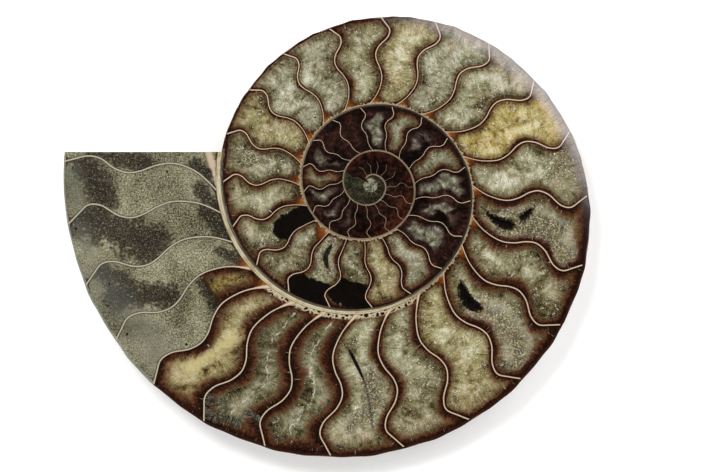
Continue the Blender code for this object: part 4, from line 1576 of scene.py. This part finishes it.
def crystal(points, faces, foot, heading, length, turned, draw):
    """Adds one six-sided crystal with a blunt six-sided point, its foot sunk in the wall."""
    heading = heading / np.linalg.norm(heading)
    aside = np.cross(heading, (0.31, 0.52, 0.79))
    aside /= np.linalg.norm(aside)
    upright = np.cross(heading, aside)
    first = len(points)
    half = length * CRYSTAL_SLENDER * draw.uniform(0.8, 1.25)
    levels = ((-0.3, 0.9), (0.55 + draw.uniform(-0.15, 0.15), 1.0))
    for reach, wide in levels:
        for side in range(CRYSTAL_SIDES):
            angle = turned + 2.0 * math.pi * side / CRYSTAL_SIDES
            ring = math.cos(angle) * aside + math.sin(angle) * upright
            points.append(foot + heading * length * reach + ring * half * wide)
    tip = aside * draw.uniform(-0.3, 0.3) + upright * draw.uniform(-0.3, 0.3)
    points.append(foot + heading * length + tip * half)
    faces.append(tuple(first + side for side in reversed(range(CRYSTAL_SIDES))))
    for side in range(CRYSTAL_SIDES):
        other = (side + 1) % CRYSTAL_SIDES
        low, high = first + side, first + CRYSTAL_SIDES + side
        faces.append((low, first + other, first + CRYSTAL_SIDES + other, high))
        faces.append((high, first + CRYSTAL_SIDES + other, first + 2 * CRYSTAL_SIDES))


def grow_crust(place, node):
    """A hollow's crust of crystals as one piece, in place of its CAD node."""
    count, heap, spread, rise = CRYSTALS[place]
    course, half_width, depth = HOLLOWS[place]
    draw = np.random.default_rng(len(place) + count)
    points, faces = [], []
    for _ in range(count):
        share = draw.uniform(1.0 - CRYSTAL_FIT, CRYSTAL_FIT)
        turned = math.acos(draw.uniform(-CRYSTAL_FIT, CRYSTAL_FIT))
        middle, along = curve_through(course, share)
        across = np.array([-along[1], along[0]])
        narrow = hollow_width(share)
        heaped = rise * math.exp(-(((share - heap) / spread) ** 2))
        floor = depth * narrow * (1.0 - heaped)
        flat = middle + across * half_width * narrow * math.cos(turned) * CRYSTAL_FIT
        foot = np.array([flat[0], flat[1], -floor * math.sin(turned) * CRYSTAL_FIT])
        axis = np.array([middle[0], middle[1], -0.25 * floor])
        heading = axis - foot + draw.normal(0.0, 0.3, 3) * half_width
        heading[2] += 0.4 * abs(heading[2]) + 0.3
        length = draw.uniform(*CRYSTAL_LENGTHS) * (0.7 + 0.3 * narrow)
        heading /= np.linalg.norm(heading)
        over = foot[2] + heading[2] * length - CRYSTAL_TOP
        if over > 0.0:
            foot[2] -= over
        crystal(points, faces, foot, heading, length, draw.uniform(0.0, math.pi), draw)
    mesh = bpy.data.meshes.new(node)
    placed = np.array(points)
    placed[:, 2] = np.minimum(placed[:, 2], CRYSTAL_LIMIT)
    placed = placed * MM + np.array(COIL_CENTRE)
    mesh.from_pydata([tuple(point) for point in placed], [], faces)
    piece = bpy.data.objects.new(node + "_cluster", mesh)
    bpy.context.scene.collection.objects.link(piece)
    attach(piece, "root")
    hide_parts(node)
    return piece


def finish_crystals():
    """Straw-coloured to clear calcite with single bright faces, and painted shade that turns it dark brown
    the deeper it sits.
    """
    material, wiring, shader = new_finish("calcite_crystals")
    spot = wiring.place()
    _, _, high = wiring.parts(spot)
    sunk = wiring.calc("SUBTRACT", COIL_CENTRE.z / MM, high)
    facet = wiring.cells(spot, 1.3, "Color")
    light, hue, _ = wiring.parts(facet)
    colour = wiring.ramp(
        wiring.stirred(light, (wiring.noise(spot, 0.6, 2.0), 0.8)),
        (0.0, 72, 58, 38), (0.4, 128, 116, 84), (0.75, 176, 168, 134), (1.0, 226, 222, 198),
    )
    colour = wiring.blend(wiring.fade(hue, 0.55, 0.95, 0.0, 0.6), colour, paint(150, 112, 66))
    # Painted shade: the deeper a crystal sits in its hollow, the darker brown it is painted.
    deep = wiring.fade(wiring.stirred(sunk, (light, 0.8)), 0.3, 1.3)
    colour = wiring.blend(deep, colour, paint(26, 14, 6))
    wiring.join(colour, shader["Base Color"])
    wiring.join(wiring.fade(deep, 0.0, 1.0, 0.3, 0.7), shader["Roughness"])
    shader["Specular IOR Level"].default_value = 0.2
    return material


crystal_finish = finish_crystals()
for place, node in (("upper", "crystals_upper_hollow"), ("lower", "crystals_lower_hollow")):
    grow_crust(place, node).data.materials.append(crystal_finish)


# The stage
# A plain pale table lit from below, a soft main light from the upper left, weaker ones round the room, a
# softbox for the eased rim at the right, and a camera straight above.
CAMERA_HEIGHT = 1.6
VIEW_WIDTH = 0.2015
VIEW_CENTRE = (0.00768, 0.00028)
FLOOR_SIZE = 6.0
FLOOR_GLOW = 0.27  # the table is lit from below
ROOM_LOW = 0.85
ROOM_OVERHEAD = 0.02
SENSOR_WIDTH = 36.0


def lay_floor():
    mesh = bpy.data.meshes.new("floor")
    half = FLOOR_SIZE / 2.0
    corners = [(-half, -half, 0.0), (half, -half, 0.0), (half, half, 0.0), (-half, half, 0.0)]
    mesh.from_pydata(corners, [], [(0, 1, 2, 3)])
    floor = bpy.data.objects.new("floor", mesh)
    bpy.context.scene.collection.objects.link(floor)
    material, _, shader = new_finish("pale_floor")
    shader["Base Color"].default_value = (0.79, 0.81, 0.81, 1.0)
    shader["Roughness"].default_value = 0.9
    shader["Specular IOR Level"].default_value = 0.1
    shader["Emission Color"].default_value = (1.0, 1.0, 1.0, 1.0)
    shader["Emission Strength"].default_value = FLOOR_GLOW
    mesh.materials.append(material)


def hang_light(name, place, size, power, shade, aim=(0.0, 0.0, 0.02)):
    data = bpy.data.lights.new(name, "AREA")
    data.shape = "RECTANGLE"
    data.size, data.size_y = size
    data.energy = power
    data.color = shade
    light = bpy.data.objects.new(name, data)
    light.location = place
    light.rotation_euler = (Vector(aim) - Vector(place)).to_track_quat("-Z", "Y").to_euler()
    bpy.context.scene.collection.objects.link(light)


def light_room():
    """The room's own light: pale low down all round, and dark overhead, which keeps the polish clear."""
    world = bpy.data.worlds.new("room")
    world.use_nodes = True
    wiring = Wiring(world.node_tree)
    _, _, height = wiring.parts(wiring.add("TexCoord", {}, "Generated"))
    strength = wiring.fade(height, 0.45, 0.85, ROOM_LOW, ROOM_OVERHEAD)
    background = world.node_tree.nodes["Background"].inputs
    wiring.join(strength, background["Strength"])
    background["Color"].default_value = (1.0, 1.0, 1.0, 1.0)
    bpy.context.scene.world = world


lay_floor()
light_room()
hang_light("main_light", (-0.32, 0.44, 1.55), (0.3, 0.3), 14.6, (1.0, 0.99, 0.96))
hang_light("left_light", (-1.2, 0.1, 1.25), (0.7, 0.7), 5.0, (1.0, 1.0, 1.0))
hang_light("right_light", (1.1, 0.3, 1.3), (0.7, 0.7), 3.4, (0.97, 0.98, 1.0))
hang_light("near_light", (0.2, -1.1, 1.3), (0.7, 0.7), 3.6, (1.0, 1.0, 1.0))
hang_light("rim_softbox", (0.46, 0.44, 1.25), (0.5, 0.5), 6.8, (1.0, 0.95, 0.97))
bpy.context.scene.view_settings.view_transform = "Standard"

camera_data = bpy.data.cameras.new("camera")
camera = bpy.data.objects.new("camera", camera_data)
bpy.context.scene.collection.objects.link(camera)
camera.location = (VIEW_CENTRE[0], VIEW_CENTRE[1], cad_box[1][2] + CAMERA_HEIGHT)
camera_data.sensor_fit = "HORIZONTAL"
camera_data.sensor_width = SENSOR_WIDTH
camera_data.lens = SENSOR_WIDTH * CAMERA_HEIGHT / VIEW_WIDTH
bpy.context.scene.camera = camera
